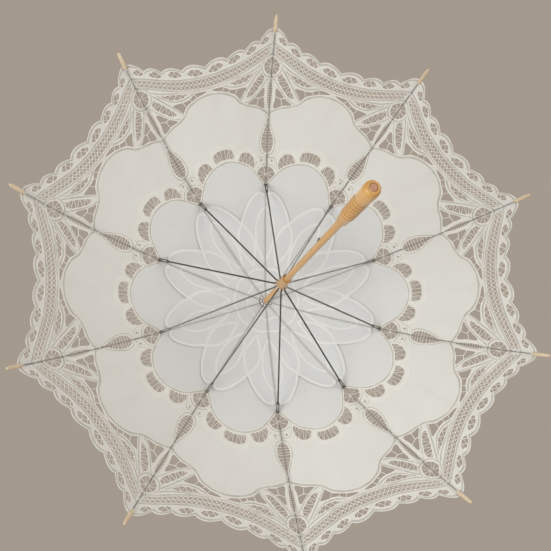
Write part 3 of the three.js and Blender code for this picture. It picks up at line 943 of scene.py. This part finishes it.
class PathSweeper:
    """Geometry Nodes that give body to flat paths: a round thread, or a tape with a cord along each edge."""

    def __init__(self) -> None:
        """Builds one tree for each section."""
        self.trees = {section: self._tree(section) for section in Section}

    @staticmethod
    def _tree(section: Section) -> bpy.types.NodeTree:
        """Builds the tree of one section.

        Args:
            section: Thread or tape.

        Returns:
            A tree with the inputs Radius, Width, Thickness, Step, Sides, Finish and Cord Finish.
        """
        tree = bpy.data.node_groups.new(f"sweep {section.value}", "GeometryNodeTree")
        inputs = {"Paths": "Geometry", "Radius": "Float", "Width": "Float", "Thickness": "Float",
                  "Step": "Float", "Sides": "Int", "Finish": "Material", "Cord Finish": "Material"}
        for name, kind in inputs.items():
            tree.interface.new_socket(name, in_out="INPUT", socket_type=f"NodeSocket{kind}")
        tree.interface.new_socket("Swept", in_out="OUTPUT", socket_type="NodeSocketGeometry")
        add = partial(add_node, tree)
        given = add("NodeGroupInput").outputs

        spaced = add("GeometryNodeResampleCurve", {"Curve": given["Paths"], "Length": given["Step"]},
                     mode="LENGTH")
        upright = add("GeometryNodeSetCurveNormal", {"Curve": spaced.outputs[0]}, mode="Z_UP")
        run = add("GeometryNodeSplineParameter").outputs["Length"]
        measured = {"Geometry": upright.outputs[0], "Name": "run", "Value": run}
        paths = add("GeometryNodeStoreNamedAttribute", measured, data_type="FLOAT",
                    domain="POINT").outputs["Geometry"]
        circle = add("GeometryNodeCurvePrimitiveCircle",
                     {"Resolution": given["Sides"], "Radius": given["Radius"]})
        relative = add("GeometryNodeInputRadius").outputs[0]

        def sweep(curves: bpy.types.NodeSocket, profile: bpy.types.NodeSocket, finish: str,
                  scaled: bool) -> bpy.types.NodeSocket:
            """Sweeps a profile along curves, caps the ends and sets the material.

            Args:
                curves: The paths.
                profile: The section's outline.
                finish: Name of the input that holds the material.
                scaled: Whether the profile takes the width of its path.

            Returns:
                The swept geometry.
            """
            swept = {"Curve": curves, "Profile Curve": profile, "Fill Caps": True}
            if scaled:
                swept["Scale"] = relative
            mesh = add("GeometryNodeCurveToMesh", swept).outputs[0]
            return add("GeometryNodeSetMaterial", {"Geometry": mesh, "Material": given[finish]}).outputs[0]

        bodies = []
        if section is Section.THREAD:
            bodies.append(sweep(paths, circle.outputs["Curve"], "Finish", False))
        else:
            strip = add("GeometryNodeCurvePrimitiveQuadrilateral",
                        {"Width": given["Width"], "Height": given["Thickness"]})
            bodies.append(sweep(paths, strip.outputs["Curve"], "Finish", True))
            tangent = add("GeometryNodeInputTangent").outputs[0]
            aside = add("ShaderNodeVectorMath", {0: tangent, 1: (0, 0, 1)},
                        operation="CROSS_PRODUCT").outputs[0]
            width = add("ShaderNodeMath", {0: given["Width"], 1: relative}, operation="MULTIPLY").outputs[0]
            for share in (CORD_PLACE, -CORD_PLACE):
                reach = add("ShaderNodeMath", {0: width, 1: share}, operation="MULTIPLY").outputs[0]
                offset = add("ShaderNodeVectorMath", {0: aside, "Scale": reach}, operation="SCALE").outputs[0]
                moved = add("GeometryNodeSetPosition", {"Geometry": paths, "Offset": offset}).outputs[0]
                bodies.append(sweep(moved, circle.outputs["Curve"], "Cord Finish", False))

        joined = add("GeometryNodeJoinGeometry")
        for body in bodies:
            feed(tree, joined.inputs[0], body)
        real = add("GeometryNodeRealizeInstances", {0: joined.outputs[0]})
        add("NodeGroupOutput", {0: real.outputs[0]})
        return tree

    def sweep(self, section: Section, paths: Sequence[tuple[Line, float]], finish: bpy.types.Material,
              cord_finish: bpy.types.Material | None = None, **sizes: float) -> bpy.types.Mesh:
        """Sweeps a section along flat paths.

        Args:
            section: Thread or tape.
            paths: Each path with its relative width: flat in millimetres, or in space in metres.
            finish: The material.
            cord_finish: The material of a tape's cords, where it differs.
            sizes: Values in metres for the tree's inputs.

        Returns:
            A plain mesh, still flat.
        """
        curve = bpy.data.curves.new("paths", "CURVE")
        curve.dimensions = "3D"
        for line, width in paths:
            spline = curve.splines.new("POLY")
            spline.points.add(len(line) - 1)
            places = np.array(line, float)
            if places.shape[1] == 2:
                places = np.column_stack([places * MM, np.zeros(len(places))])
            spline.points.foreach_set("co", np.column_stack([places, np.ones(len(places))]).ravel())
            spline.points.foreach_set("radius", [width] * len(line))
        inputs = {"Finish": finish, "Cord Finish": cord_finish or finish, **sizes}
        return self.grown(curve, self.trees[section], inputs)

    @staticmethod
    def grown(data: bpy.types.ID, tree: bpy.types.NodeTree, inputs: dict[str, object]) -> bpy.types.Mesh:
        """Runs a tree on a curve or mesh.

        Args:
            data: The curve or mesh.
            tree: The tree.
            inputs: What its inputs are set to, by name.

        Returns:
            The plain mesh that it grows into.
        """
        carrier = placed("carrier", data)
        modifier = carrier.modifiers.new("grow", "NODES")
        modifier.node_group = tree
        for item in tree.interface.items_tree:
            if item.item_type == "SOCKET" and item.in_out == "INPUT" and item.name in inputs:
                modifier[item.identifier] = inputs[item.name]
        graph = bpy.context.evaluated_depsgraph_get()
        mesh = bpy.data.meshes.new_from_object(carrier.evaluated_get(graph))
        carrier.modifiers.remove(modifier)
        bpy.data.objects.remove(carrier)
        return mesh


def spots(mesh: bpy.types.Mesh) -> np.ndarray:
    """The vertex places of a mesh.

    Args:
        mesh: The mesh.

    Returns:
        One row of three for each vertex.
    """
    flat = np.zeros(len(mesh.vertices) * 3)
    mesh.vertices.foreach_get("co", flat)
    return flat.reshape(-1, 3)


def moved_copy(base: bpy.types.Mesh, places: np.ndarray, name: str, crease: float = 50.0) -> bpy.types.Object:
    """An object with a copy of a mesh at new places.

    Args:
        base: The mesh.
        places: Where the copy's vertices go.
        name: The object's name.
        crease: Angle in degrees up to which it is smooth.

    Returns:
        The object.
    """
    mesh = base.copy()
    mesh.name = name
    mesh.vertices.foreach_set("co", places.astype(np.float32).ravel())
    mesh.shade_smooth()
    mesh.update()
    mesh.set_sharp_from_angle(angle=math.radians(crease))
    return placed(name, mesh)


def give_map(mesh: bpy.types.Mesh, pairs: np.ndarray) -> None:
    """Gives a mesh a UV map.

    Args:
        mesh: The mesh.
        pairs: Two distances in metres for each vertex.
    """
    layer = mesh.uv_layers.new(name="UVMap")
    corners = np.zeros(len(mesh.loops), np.int32)
    mesh.loops.foreach_get("vertex_index", corners)
    layer.data.foreach_set("uv", (pairs[corners] / MAP_UNIT).astype(np.float32).ravel())


def cloth_mesh(name: str, outline: Line, openings: Sequence[Line], spacing: float, thickness: float,
               finish: bpy.types.Material) -> bpy.types.Mesh:
    """A flat cloth with openings, as a thin closed body.

    Args:
        name: The mesh's name.
        outline: The closed outer line, in millimetres.
        openings: Closed lines to leave out. They may run past the outline.
        spacing: Distance between the points inside the cloth, in millimetres.
        thickness: Of the cloth, in metres.
        finish: The material.

    Returns:
        The mesh, with its own map of the flat cloth.
    """
    points: Line = []
    sides: list[tuple[int, int]] = []
    for loop in [outline, *openings]:
        start = len(points)
        points += loop
        sides += [(start + i, start + (i + 1) % len(loop)) for i in range(len(loop))]
    border = np.array(points)
    low, high = border.min(0), border.max(0)
    row_share, border_share = 0.87, 0.4      # of the spacing: between rows, and from the lines to the grid
    rows = np.arange(low[1], high[1], spacing * row_share)
    columns = np.arange(-spacing * math.ceil(high[0] / spacing), high[0], spacing)
    grid = np.array([(x + (spacing / 2 if i % 2 else 0), row)
                     for i, row in enumerate(rows) for x in columns])
    gap = np.sqrt(((grid[:, None, :] - border[None, :, :]) ** 2).sum(-1)).min(1)
    points += [tuple(p) for p in grid[gap > spacing * border_share]]
    made = delaunay_2d_cdt([Vector(p) for p in points], sides, [], 0, 1e-4)
    flat = np.array([tuple(v) for v in made[0]])
    triangles = np.array([f for f in made[2] if len(f) == 3])
    centres = flat[triangles].mean(1)
    keep = inside(centres, outline)
    for loop in openings:
        keep &= ~inside(centres, loop)
    triangles = triangles[keep]
    used, triangles = np.unique(triangles, return_inverse=True)
    triangles = triangles.reshape(-1, 3)
    flat = flat[used] * MM
    a, b, c = (flat[triangles[:, i]] for i in range(3))
    area = np.cross(b - a, c - a)
    triangles = triangles[np.abs(area) > 1e-12]
    count = len(flat)
    directed = np.vstack([triangles[:, [0, 1]], triangles[:, [1, 2]], triangles[:, [2, 0]]])
    known = {(int(i), int(j)) for i, j in directed}
    walls = [(j, i, i + count, j + count) for i, j in known if (j, i) not in known]
    faces = triangles.tolist() + (triangles[:, ::-1] + count).tolist() + sorted(walls)
    lift = np.repeat([thickness / 2, -thickness / 2], count)
    places = np.column_stack([np.vstack([flat, flat]), lift])
    mesh = bpy.data.meshes.new(name)
    mesh.from_pydata(places.tolist(), [], faces)
    mesh.materials.append(finish)
    give_map(mesh, places[:, :2])
    return mesh


def turned_mesh(name: str, profile: Line, finish: bpy.types.Material, sides: int = 56,
                shade: bpy.types.Material | None = None, shaded: Sequence[int] = ()) -> bpy.types.Mesh:
    """Spins a profile round the stick's axis.

    Args:
        name: The mesh's name.
        profile: Radius and height in millimetres from the ribs' hinges, with its ends on the axis, or closed
            by its first point coming back as its last. The outside runs upwards.
        finish: The material.
        sides: Steps round the axis.
        shade: A second material for some steps of the profile.
        shaded: Which steps have it.

    Returns:
        A closed mesh.
    """
    closed = profile[0] == profile[-1]
    rings: list[list[int]] = []
    places: list[tuple[float, float, float]] = []
    turns = [2 * math.pi * j / sides for j in range(sides)]
    for radius, height in profile[:-1] if closed else profile:
        count = sides if radius > 0 else 1
        ring = [len(places) + j for j in range(count)]
        rings.append(ring * (sides // count))
        places += [(radius * MM * math.cos(turn), radius * MM * math.sin(turn), (height + HINGES) * MM)
                   for turn in turns[:count]]
    faces, kinds = [], []
    steps = zip(rings, rings[1:] + rings[:1]) if closed else zip(rings, rings[1:])
    for step, (low, high) in enumerate(steps):
        for j in range(sides):
            k = (j + 1) % sides
            corners = list(dict.fromkeys((low[j], low[k], high[k], high[j])))
            if len(corners) > 2:
                faces.append(corners)
                kinds.append(1 if step in shaded else 0)
    mesh = bpy.data.meshes.new(name)
    mesh.from_pydata(places, [], faces)
    mesh.materials.append(finish)
    if shade:
        mesh.materials.append(shade)
    mesh.polygons.foreach_set("material_index", kinds)
    return mesh


# ---------------------------------------------------------------- the wooden pieces and the rods


@dataclass
class Woodwork:
    """The turned pieces: handle, plug, stick, ferrule and cap. Sizes in millimetres."""

    stick_radius: float = 4.75
    neck_radius: float = 5.2
    bore: float = 5.05
    tenon: float = 3.5
    handle_top: float = -455.0
    handle_end: float = -576.0
    plug_radius: float = 4.8
    groove_first: float = -537.6
    groove_pitch: float = 8.6
    groove_count: int = 7
    groove_depth: float = 0.75
    groove_half: float = 1.3
    slots: tuple[tuple[float, float], ...] = ((-197.3, -161.1), (-371.3, -335.1))
    slot_reach: tuple[float, float] = (-1.8, 7.0)
    slot_half: float = 1.1

    def build(self) -> None:
        """Turns every piece in the place of its plain one."""
        # Faces in the handle's grooves take a darker finish: painted shade.
        honey, groove = HONEY_WOOD.made(), GROOVE_PAINTED_SHADE.made()
        profile, shaded = self.handle_profile()
        self.put(turned_mesh("handle", profile, honey, 64, groove, shaded), "grip", "handle", "wood")
        end, rim = self.handle_end, self.plug_radius
        disc = [(0, end - 0.3), (2.6, end - 0.25), (4.2, end), (rim, end + 0.6), (rim, end + 2.7),
                (0, end + 2.7)]
        self.put(turned_mesh("plug", disc, END_WOOD.made()), "end_disc", "handle_plug", "end_grain")
        self.put(self.slotted(self.stick_mesh(honey)), "shaft", "stick", "wood")
        outside = flowing([(7.6, 6.6), (7.5, 8), (6.3, 10.4), (5.2, 13.6), (5.5, 24), (5.6, 32), (5.1, 46),
                           (4.4, 58), (3.3, 64.8), (1.8, 67.2)], 1.6)
        point = [(0, 25), (3.8, 25), (3.8, 5.4), (7.2, 5.4), *outside, (0, 67.4)]
        self.put(turned_mesh("ferrule", point, honey), "point", "ferrule", "wood")
        washer = [(3.8, 3.6), (12.6, 3.6), (13, 4), (12.7, 4.5), (11, 4.8), (7, 5), (3.8, 5), (3.8, 3.6)]
        self.put(turned_mesh("cap", washer, PALE_METAL.made()), "washer", "cap", "pale_metal")

    def handle_profile(self) -> tuple[Line, list[int]]:
        """The handle's profile, from the plug's recess up to the stick's socket.

        Returns:
            The profile, and which of its steps lie in a groove.
        """
        end, wall = self.handle_end, self.plug_radius + 0.3
        profile = [(0, end + 3), (wall, end + 3), (wall, end + 0.2)]
        profile += flowing([(wall + 0.5, end - 0.05), (6.6, end), (8.0, end + 0.5), (9.4, end + 2.4),
                            (10.2, end + 6.5), (10.4, end + 13), (10.2, end + 22), (10.0, -546)], 1.5)
        shaded = []
        for i in range(self.groove_count):
            middle = self.groove_first + i * self.groove_pitch
            radius = 9.9 - 0.08 * i
            profile += [(radius, middle - self.groove_half)]
            shaded += [len(profile) - 1, len(profile)]
            profile += [(radius - self.groove_depth, middle), (radius, middle + self.groove_half)]
            profile += [(radius + 0.12, middle + self.groove_pitch / 2)] if i < self.groove_count - 1 else []
        profile += flowing([(9.2, -482), (8.4, -474), (7.7, -466), (7.3, -460), (7.1, -456.6), (6.5, -455.3)],
                           1.5)
        profile += [(6.2, self.handle_top), (self.bore, self.handle_top), (self.bore, -501), (0, -501)]
        return profile, shaded

    def stick_mesh(self, finish: bpy.types.Material) -> bpy.types.Mesh:
        """The stick, with its neck at the handle and the tenon at its top.

        Args:
            finish: The material.

        Returns:
            A closed mesh, without the catches' slots.
        """
        r, neck = self.stick_radius, self.handle_top + 0.3
        sides = [(r, height) for height in np.linspace(-430, -12, 24)]
        profile = [(0, -500), (r, -500), (r, neck - 0.02), (self.neck_radius, neck), (5.05, neck + 8),
                   (4.85, neck + 16), *sides, (r, -8), (self.tenon, -8), (self.tenon, 23.6), (3.2, 24),
                   (0, 24)]
        return turned_mesh("stick", profile, finish, 40)

    def slotted(self, mesh: bpy.types.Mesh) -> bpy.types.Mesh:
        """Cuts the two slots of the catches into the stick.

        Args:
            mesh: The stick without them.

        Returns:
            The stick with them.
        """
        stick = placed("blank", mesh)
        cutters = []
        turn = Matrix.Rotation(CATCH_BEARING, 3, "Z")
        sides = [(0, 1, 3, 2), (4, 6, 7, 5), (0, 4, 5, 1), (2, 3, 7, 6), (0, 2, 6, 4), (1, 5, 7, 3)]
        for low, high in self.slots:
            box = [(x, y, z) for x in self.slot_reach for y in (-self.slot_half, self.slot_half)
                   for z in (low + HINGES, high + HINGES)]
            block = bpy.data.meshes.new("slot")
            block.from_pydata([turn @ Vector(corner) * MM for corner in box], [], sides)
            block.materials.append(mesh.materials[0])
            cutter = placed("cutter", block)
            cut = stick.modifiers.new("slot", "BOOLEAN")
            cut.object, cut.solver = cutter, "EXACT"
            cutters.append(cutter)
        graph = bpy.context.evaluated_depsgraph_get()
        result = bpy.data.meshes.new_from_object(stick.evaluated_get(graph))
        for spare in [stick, *cutters]:
            bpy.data.objects.remove(spare)
        return result

    @staticmethod
    def put(mesh: bpy.types.Mesh, name: str, node: str, slot: str) -> None:
        """Puts a piece in the place of a plain one.

        Args:
            mesh: Its mesh.
            name: Its name.
            node: The plain piece.
            slot: Its material slot. Not used.
        """
        piece = moved_copy(mesh, spots(mesh), name, 34.0)
        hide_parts(node)
        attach(piece, "stick")


@dataclass
class Catches:
    """The two bent wire catches that hold the runner up and down, in the stick's slots."""

    wire: float = 0.74 * MM
    noses: tuple[float, float] = (-162.3, -370.1)
    shape: tuple[Point, ...] = ((3.4, 33.4), (3.4, 26), (3.8, 20), (5.2, 10), (6.1, 4.2), (6.2, 2),
                                (5.6, 0.9), (3.8, 0.75), (2.7, 0.8))

    def build(self, sweeper: PathSweeper) -> None:
        """Bends each wire from its pin to its nose, in the place of the plain catch.

        Args:
            sweeper: What gives the wires their body.
        """
        steel = DARK_STEEL.made()
        aim = np.array([math.cos(CATCH_BEARING), math.sin(CATCH_BEARING)])
        for name, node, nose, way in (("upper_spring", "top_catch", self.noses[0], -1),
                                      ("lower_spring", "bottom_catch", self.noses[1], 1)):
            bent = np.array(flowing(self.shape, 1.2)) * MM
            path = np.column_stack([bent[:, :1] * aim, HINGES * MM + nose * MM + way * bent[:, 1]])
            mesh = sweeper.sweep(Section.THREAD, [(path, 1.0)], steel, Radius=self.wire, Step=0.7 * MM,
                                 Sides=10)
            piece = moved_copy(mesh, spots(mesh), name)
            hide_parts(node)
            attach(piece, node)


@dataclass
class Rods:
    """The drawn steel ribs, each with the eye at its hinge, its joint, and the ties that hold the lace."""

    curve: CanopyCurve
    length: float = 0.443
    eye_gap: float = 0.6 * MM                # from the eye to the start of the rod
    radius: float = 0.72 * MM
    eye_radius: float = 1.35 * MM
    joint_out: float = 0.189
    joint_radius: float = 1.3 * MM
    tie_radius: float = 0.3 * MM
    tie_lift: float = 0.95 * MM              # middle of a tie above the middle of the rib
    tie_height: float = 2.0 * MM             # half its height
    tie_half: float = 1.05 * MM              # half its width
    tie_shift: float = 0.4 * MM              # each tie's two turns, either side of its place
    ties: tuple[float, ...] = (0.204, 0.236, 0.2885, 0.3, 0.341, 0.3705, 0.3825, 0.3985)

    def build(self, sweeper: PathSweeper) -> None:
        """Sweeps one rod and its ties, and turns a copy to each rib's place.

        Args:
            sweeper: What gives the rod and the ties their body.
        """
        steel, cotton = RIB_STEEL.made(), THREAD.made()
        along = np.linspace(self.eye_radius + self.eye_gap, self.length, 90)
        rod = self.upright(self.curve.rib_point(along, 0.0))
        pivot = self.curve.rib_point(np.array([0.0]), 0.0)[0]
        joint = self.curve.rib_point(np.array([self.curve.along(self.joint_out)]), 0.0)[0]
        rings = [self.ring(pivot, self.eye_radius), self.ring(joint, self.joint_radius)]
        paths = [(path, 1.0) for path in [rod, *rings]]
        body = sweeper.sweep(Section.THREAD, paths, steel, Radius=self.radius, Step=2.2 * MM, Sides=8)
        shifts = (-self.tie_shift, self.tie_shift)
        knots = [(self.tie(out + shift), 1.0) for out in self.ties for shift in shifts]
        wraps = sweeper.sweep(Section.THREAD, knots, cotton, Radius=self.tie_radius, Step=0.9 * MM, Sides=5)
        for index, turn in enumerate(self.curve.angles):
            number = f"{index + 1:02d}"
            spin = np.array([[math.cos(turn), math.sin(turn), 0], [-math.sin(turn), math.cos(turn), 0],
                             [0, 0, 1]])
            piece = moved_copy(body, spots(body) @ spin, f"rod_{number}")
            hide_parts(f"rib_{number}")
            knot = moved_copy(wraps, spots(wraps) @ spin, f"ties_{number}")
            for part in (piece, knot):
                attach(part, f"rib_{number}")

    @staticmethod
    def upright(places: np.ndarray) -> np.ndarray:
        """Places in the plane over the X axis, from distances out and heights."""
        return np.column_stack([places[:, 0], np.zeros(len(places)), places[:, 1]])

    def ring(self, centre: np.ndarray, radius: float) -> np.ndarray:
        """A ring round a hinge line, which closes on itself."""
        turns = np.linspace(0, 2 * math.pi, 17)
        return self.upright(centre + radius * np.column_stack([np.cos(turns), np.sin(turns)]))

    def tie(self, out: float) -> np.ndarray:
        """One turn of thread round the rib and the cloth over it.

        Args:
            out: Its distance from the stick.

        Returns:
            Its places, over the X axis.
        """
        turns = np.linspace(0, 2 * math.pi, 15)
        lift = self.tie_lift + self.tie_height * np.sin(turns)
        places = self.curve.rib_point(np.full(len(turns), self.curve.along(out)), lift)
        return np.column_stack([places[:, 0], self.tie_half * np.cos(turns), places[:, 1]])


# ---------------------------------------------------------------- the canopy


@dataclass
class Canopy:
    """The lace canopy, one gore to each rib."""

    curve: CanopyCurve
    cloth_thickness: float = 0.45 * MM
    lining_thickness: float = 0.2 * MM
    tape_width: float = 3.5 * MM
    tape_thickness: float = 0.6 * MM
    tape_cord: float = 0.45 * MM             # radius of the cord along a tape's edge
    edge_cord: float = 0.42 * MM             # radius of the cord round an opening
    bar_cord: float = 0.5 * MM
    rosette_width: float = 4.6 * MM
    rosette_cord: float = 0.1 * MM
    thread_radius: float = 0.3 * MM
    lining_gap: float = 1.4 * MM             # from the middle of the cloth to the middle of the lining
    rosette_gap: float = 0.26 * MM           # from there to the middle of the rosette
    folded_share: float = 0.07               # of a gore's width, when the parasol is closed
    lining_inner: float = 11.4               # millimetres out from the stick

    def build(self, sweeper: PathSweeper) -> None:
        """Builds the flat work once, and stretches it over every gore.

        Args:
            sweeper: What gives the tapes, cords, bars and threads their body.
        """
        lace = LaceDrawing(self.curve.middle_slope)
        rosette = RosetteDrawing(self.curve.middle_slope)
        # The tapes' strips take the darker finish, painted shade between their cords; the cords take the lace
        # cord finish.
        tape, cord = TAPE.made(), THREAD.made()
        strip = {"Radius": self.tape_cord, "Width": self.tape_width, "Thickness": self.tape_thickness}
        patterns = {
            "petals": (lace.cloth_outline(), lace.openings),
            "lobes": (self.filled(lace.lobe_top()), []),
            "lining": (self.filled(rosette.lining_top()), []),
        }
        cuts = {part: self.cut_size(*pattern) for part, pattern in patterns.items()}
        for part, (size, area) in cuts.items():
            LOG.info("%s: cut %.0f by %.0f mm, %.0f cm2", part, size[0] / MM, size[1] / MM, area * 1e4)
        flat = {
            "petals": cloth_mesh("petals", *patterns["petals"], 6.5, self.cloth_thickness,
                                 PETAL_COTTON.made()),
            "lobes": cloth_mesh("lobes", *patterns["lobes"], 7.0, self.cloth_thickness, LOBE_COTTON.made()),
            "lining": cloth_mesh("lining", *patterns["lining"], 7.0, self.lining_thickness, LINING.made()),
            "tapes": sweeper.sweep(Section.TAPE, lace.tapes, tape, cord, Step=3 * MM, Sides=5, **strip),
            "rosette": sweeper.sweep(Section.TAPE, rosette.tapes, ROSETTE_TAPE.made(), Step=3.5 * MM, Sides=4,
                                     Radius=self.rosette_cord, Width=self.rosette_width,
                                     Thickness=2 * self.rosette_cord),
            "edges": sweeper.sweep(Section.THREAD, [(line, 1) for line in lace.edges], cord,
                                   Radius=self.edge_cord, Step=2.4 * MM, Sides=5),
            "bars": sweeper.sweep(Section.THREAD, [(line, 1) for line in lace.bars], cord,
                                  Radius=self.bar_cord, Step=3 * MM, Sides=5),
            "threads": sweeper.sweep(Section.THREAD, [(line, 1) for line in lace.threads], cord,
                                     Radius=self.thread_radius, Step=3.2 * MM, Sides=4),
        }
        for part in ("tapes", "rosette", "edges", "bars", "threads"):
            self.map_along(flat[part])
        lifts = {"lining": -self.lining_gap, "rosette": -self.lining_gap - self.rosette_gap}
        for index in range(len(self.curve.angles)):
            number = f"{index + 1:02d}"
            pieces = {}
            for part, base in flat.items():
                places = spots(base)
                places[:, 2] += lifts.get(part, 0.0)
                pieces[part] = moved_copy(base, self.curve.stretched(places, index), f"{part}_{number}")
            self.hang(pieces, number)
        LOG.info("canopy: %d gores of %d faces", len(self.curve.angles),
                 sum(len(base.polygons) for base in flat.values()))

    def filled(self, top: Line) -> Line:
        """The outline of a cloth that fills a gore from the stick outwards.

        Args:
            top: Its outer edge, from the rib to the middle line.

        Returns:
            A closed line.
        """
        last, slope = top[-1], top[-1][0] / top[-1][1]
        side = [(slope * out + OVERLAP * (1 - out / last[1]), out)
                for out in np.linspace(last[1], self.lining_inner, 26)[1:]]
        right = top + side + [(0, self.lining_inner)]
        return right + mirrored(right)[1:-1]

    @staticmethod
    def map_along(mesh: bpy.types.Mesh) -> None:
        """Maps swept work by the length along its path, and the height over the flat.

        Args:
            mesh: The swept mesh, still flat.
        """
        run = np.zeros(len(mesh.vertices))
        mesh.attributes["run"].data.foreach_get("value", run)
        give_map(mesh, np.column_stack([run, spots(mesh)[:, 2]]))

    def hang(self, pieces: dict[str, bpy.types.Object], number: str) -> None:
        """Args:
            pieces: The gore's objects by part.
            number: The rib's number, as its names have it.
        """
        for part, piece in pieces.items():
            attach(piece, f"rib_{number}")
            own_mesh(piece)
        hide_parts(f"canopy_{number}")

    def cut_size(self, outline: Line, openings: Sequence[Line], grid: float = 1.0) -> Cut:
        """What a gore's cloth is cut to: the drawing, with the half on each side of the rib unrolled flat.

        Args:
            outline: The drawn outline, in millimetres across and out.
            openings: The drawn openings.
            grid: Spacing of the points that the area is counted on, in millimetres.

        Returns:
            The width and length in metres, and the area in square metres.
        """
        low, high = np.min(outline, 0), np.max(outline, 0)
        rows = [np.arange(start + grid / 2, end, grid) for start, end in zip(low, high)]
        points = np.stack(np.meshgrid(*rows), -1).reshape(-1, 2)
        kept = inside(points, outline)
        for opening in openings:
            kept &= ~inside(points, opening)
        half = self.curve.gore_angle / 2
        fall = np.tan(self.curve.slope(points[kept, 1] * MM)) / math.cos(half)
        area = float(np.hypot(1, fall).sum()) * (grid * MM) ** 2
        across, out = (np.array(outline) * MM).T
        width = 2 * float((across * np.hypot(1, math.tan(half) * np.sin(self.curve.slope(out)))).max())
        return (width, self.curve.along(high[1] * MM) - self.curve.along(low[1] * MM)), area


# ---------------------------------------------------------------- the studio


@dataclass
class Studio:
    """A plain floor, soft light and the camera that looks up into the canopy."""

    camera_place: tuple[float, float, float] = (-0.3057, 0.3033, -0.9006)
    look: tuple[float, float, float] = (0.2159, -0.2307, 0.9488)
    head_up: tuple[float, float, float] = (0.0013, -0.9716, -0.2365)
    lens: float = 58.29
    floor_height: float = -1.7
    backdrop: Colour = (0.375, 0.320, 0.270, 1)
    light_colour: tuple[float, float, float] = (0.92, 0.98, 1.0)
    light_target: tuple[float, float, float] = (0, 0, 0.45)
    floor_radius: float = 6.0
    floor_sides: int = 48

    def build(self) -> None:
        """Makes the floor, the lights, the world and the camera."""
        scene = bpy.context.scene
        scene.view_settings.view_transform = "Standard"
        world = bpy.data.worlds.new("soft room")
        world.use_nodes = True
        world.node_tree.nodes["Background"].inputs[0].default_value = self.backdrop
        world.node_tree.nodes["Background"].inputs[1].default_value = 1.0
        scene.world = world
        self.floor()
        self.light("key", (-1.6, 0.7, -0.8), 1.3, 31.5)
        self.light("fill", (1.5, -1.1, -0.9), 2.0, 28.0)
        self.light("top", (0.6, -1.4, 2.2), 2.0, 36.0)
        self.camera()

    def floor(self) -> None:
        """A round floor, well below the grip and behind the camera."""
        mesh = bpy.data.meshes.new("floor")
        ring = [(self.floor_radius * math.cos(a), self.floor_radius * math.sin(a), self.floor_height)
                for a in np.linspace(0, 2 * math.pi, self.floor_sides, endpoint=False)]
        mesh.from_pydata(ring, [], [list(range(self.floor_sides))])
        desk = NodeDesk("pale floor")
        place = desk.add("ShaderNodeTexCoord").outputs["Object"]
        share = desk.ramp(desk.noise(place, 3.0), 0.3, 0.7)
        desk.set(Base_Color=desk.blend(share, (0.56, 0.51, 0.46, 1), (0.62, 0.57, 0.52, 1)), Roughness=0.9)
        mesh.materials.append(desk.material)
        floor = placed("floor", mesh)

    def light(self, name: str, place: tuple[float, float, float], size: float, power: float) -> None:
        """A square soft light that faces the canopy.

        Args:
            name: Its name.
            place: Where it stands.
            size: Length of its sides.
            power: In watts.
        """
        data = bpy.data.lights.new(name, "AREA")
        data.size, data.energy = size, power
        data.color = self.light_colour
        lamp = placed(name, data)
        lamp.location = place
        lamp.rotation_euler = (Vector(self.light_target) - Vector(place)).to_track_quat("-Z", "Y").to_euler()

    def camera(self) -> None:
        """The camera, low beside the handle."""
        data = bpy.data.cameras.new("camera")
        data.lens, data.sensor_width = self.lens, 36.0
        data.clip_start, data.clip_end = 0.05, 30.0
        camera = placed("camera", data)
        back = -Vector(self.look).normalized()
        right = Vector(self.head_up).cross(back).normalized()
        up = back.cross(right)
        axes = Matrix((right, up, back)).transposed().to_4x4()
        camera.matrix_world = Matrix.Translation(self.camera_place) @ axes
        bpy.context.scene.camera = camera


def main() -> None:
    """Builds the parasol's pieces in order."""
    logging.basicConfig(level=logging.INFO, format="%(name)s: %(message)s")
    curve = CanopyCurve.from_frame()
    steel, metal, tips, runner = (kind.made() for kind in (DARK_STEEL, PALE_METAL, PALE_WOOD, RUNNER_WOOD))
    kinds = {"tip": tips, "notch": metal, "runner": runner}
    for name, node in frame["nodes"].items():
        node.data.materials.clear()
        node.data.materials.append(kinds.get(name.split("_")[0] if name.startswith("tip") else name, steel))
    sweeper = PathSweeper()
    Woodwork().build()
    Catches().build(sweeper)
    Rods(curve).build(sweeper)
    Canopy(curve).build(sweeper)
    Studio().build()


if __name__ == "__main__":
    main()
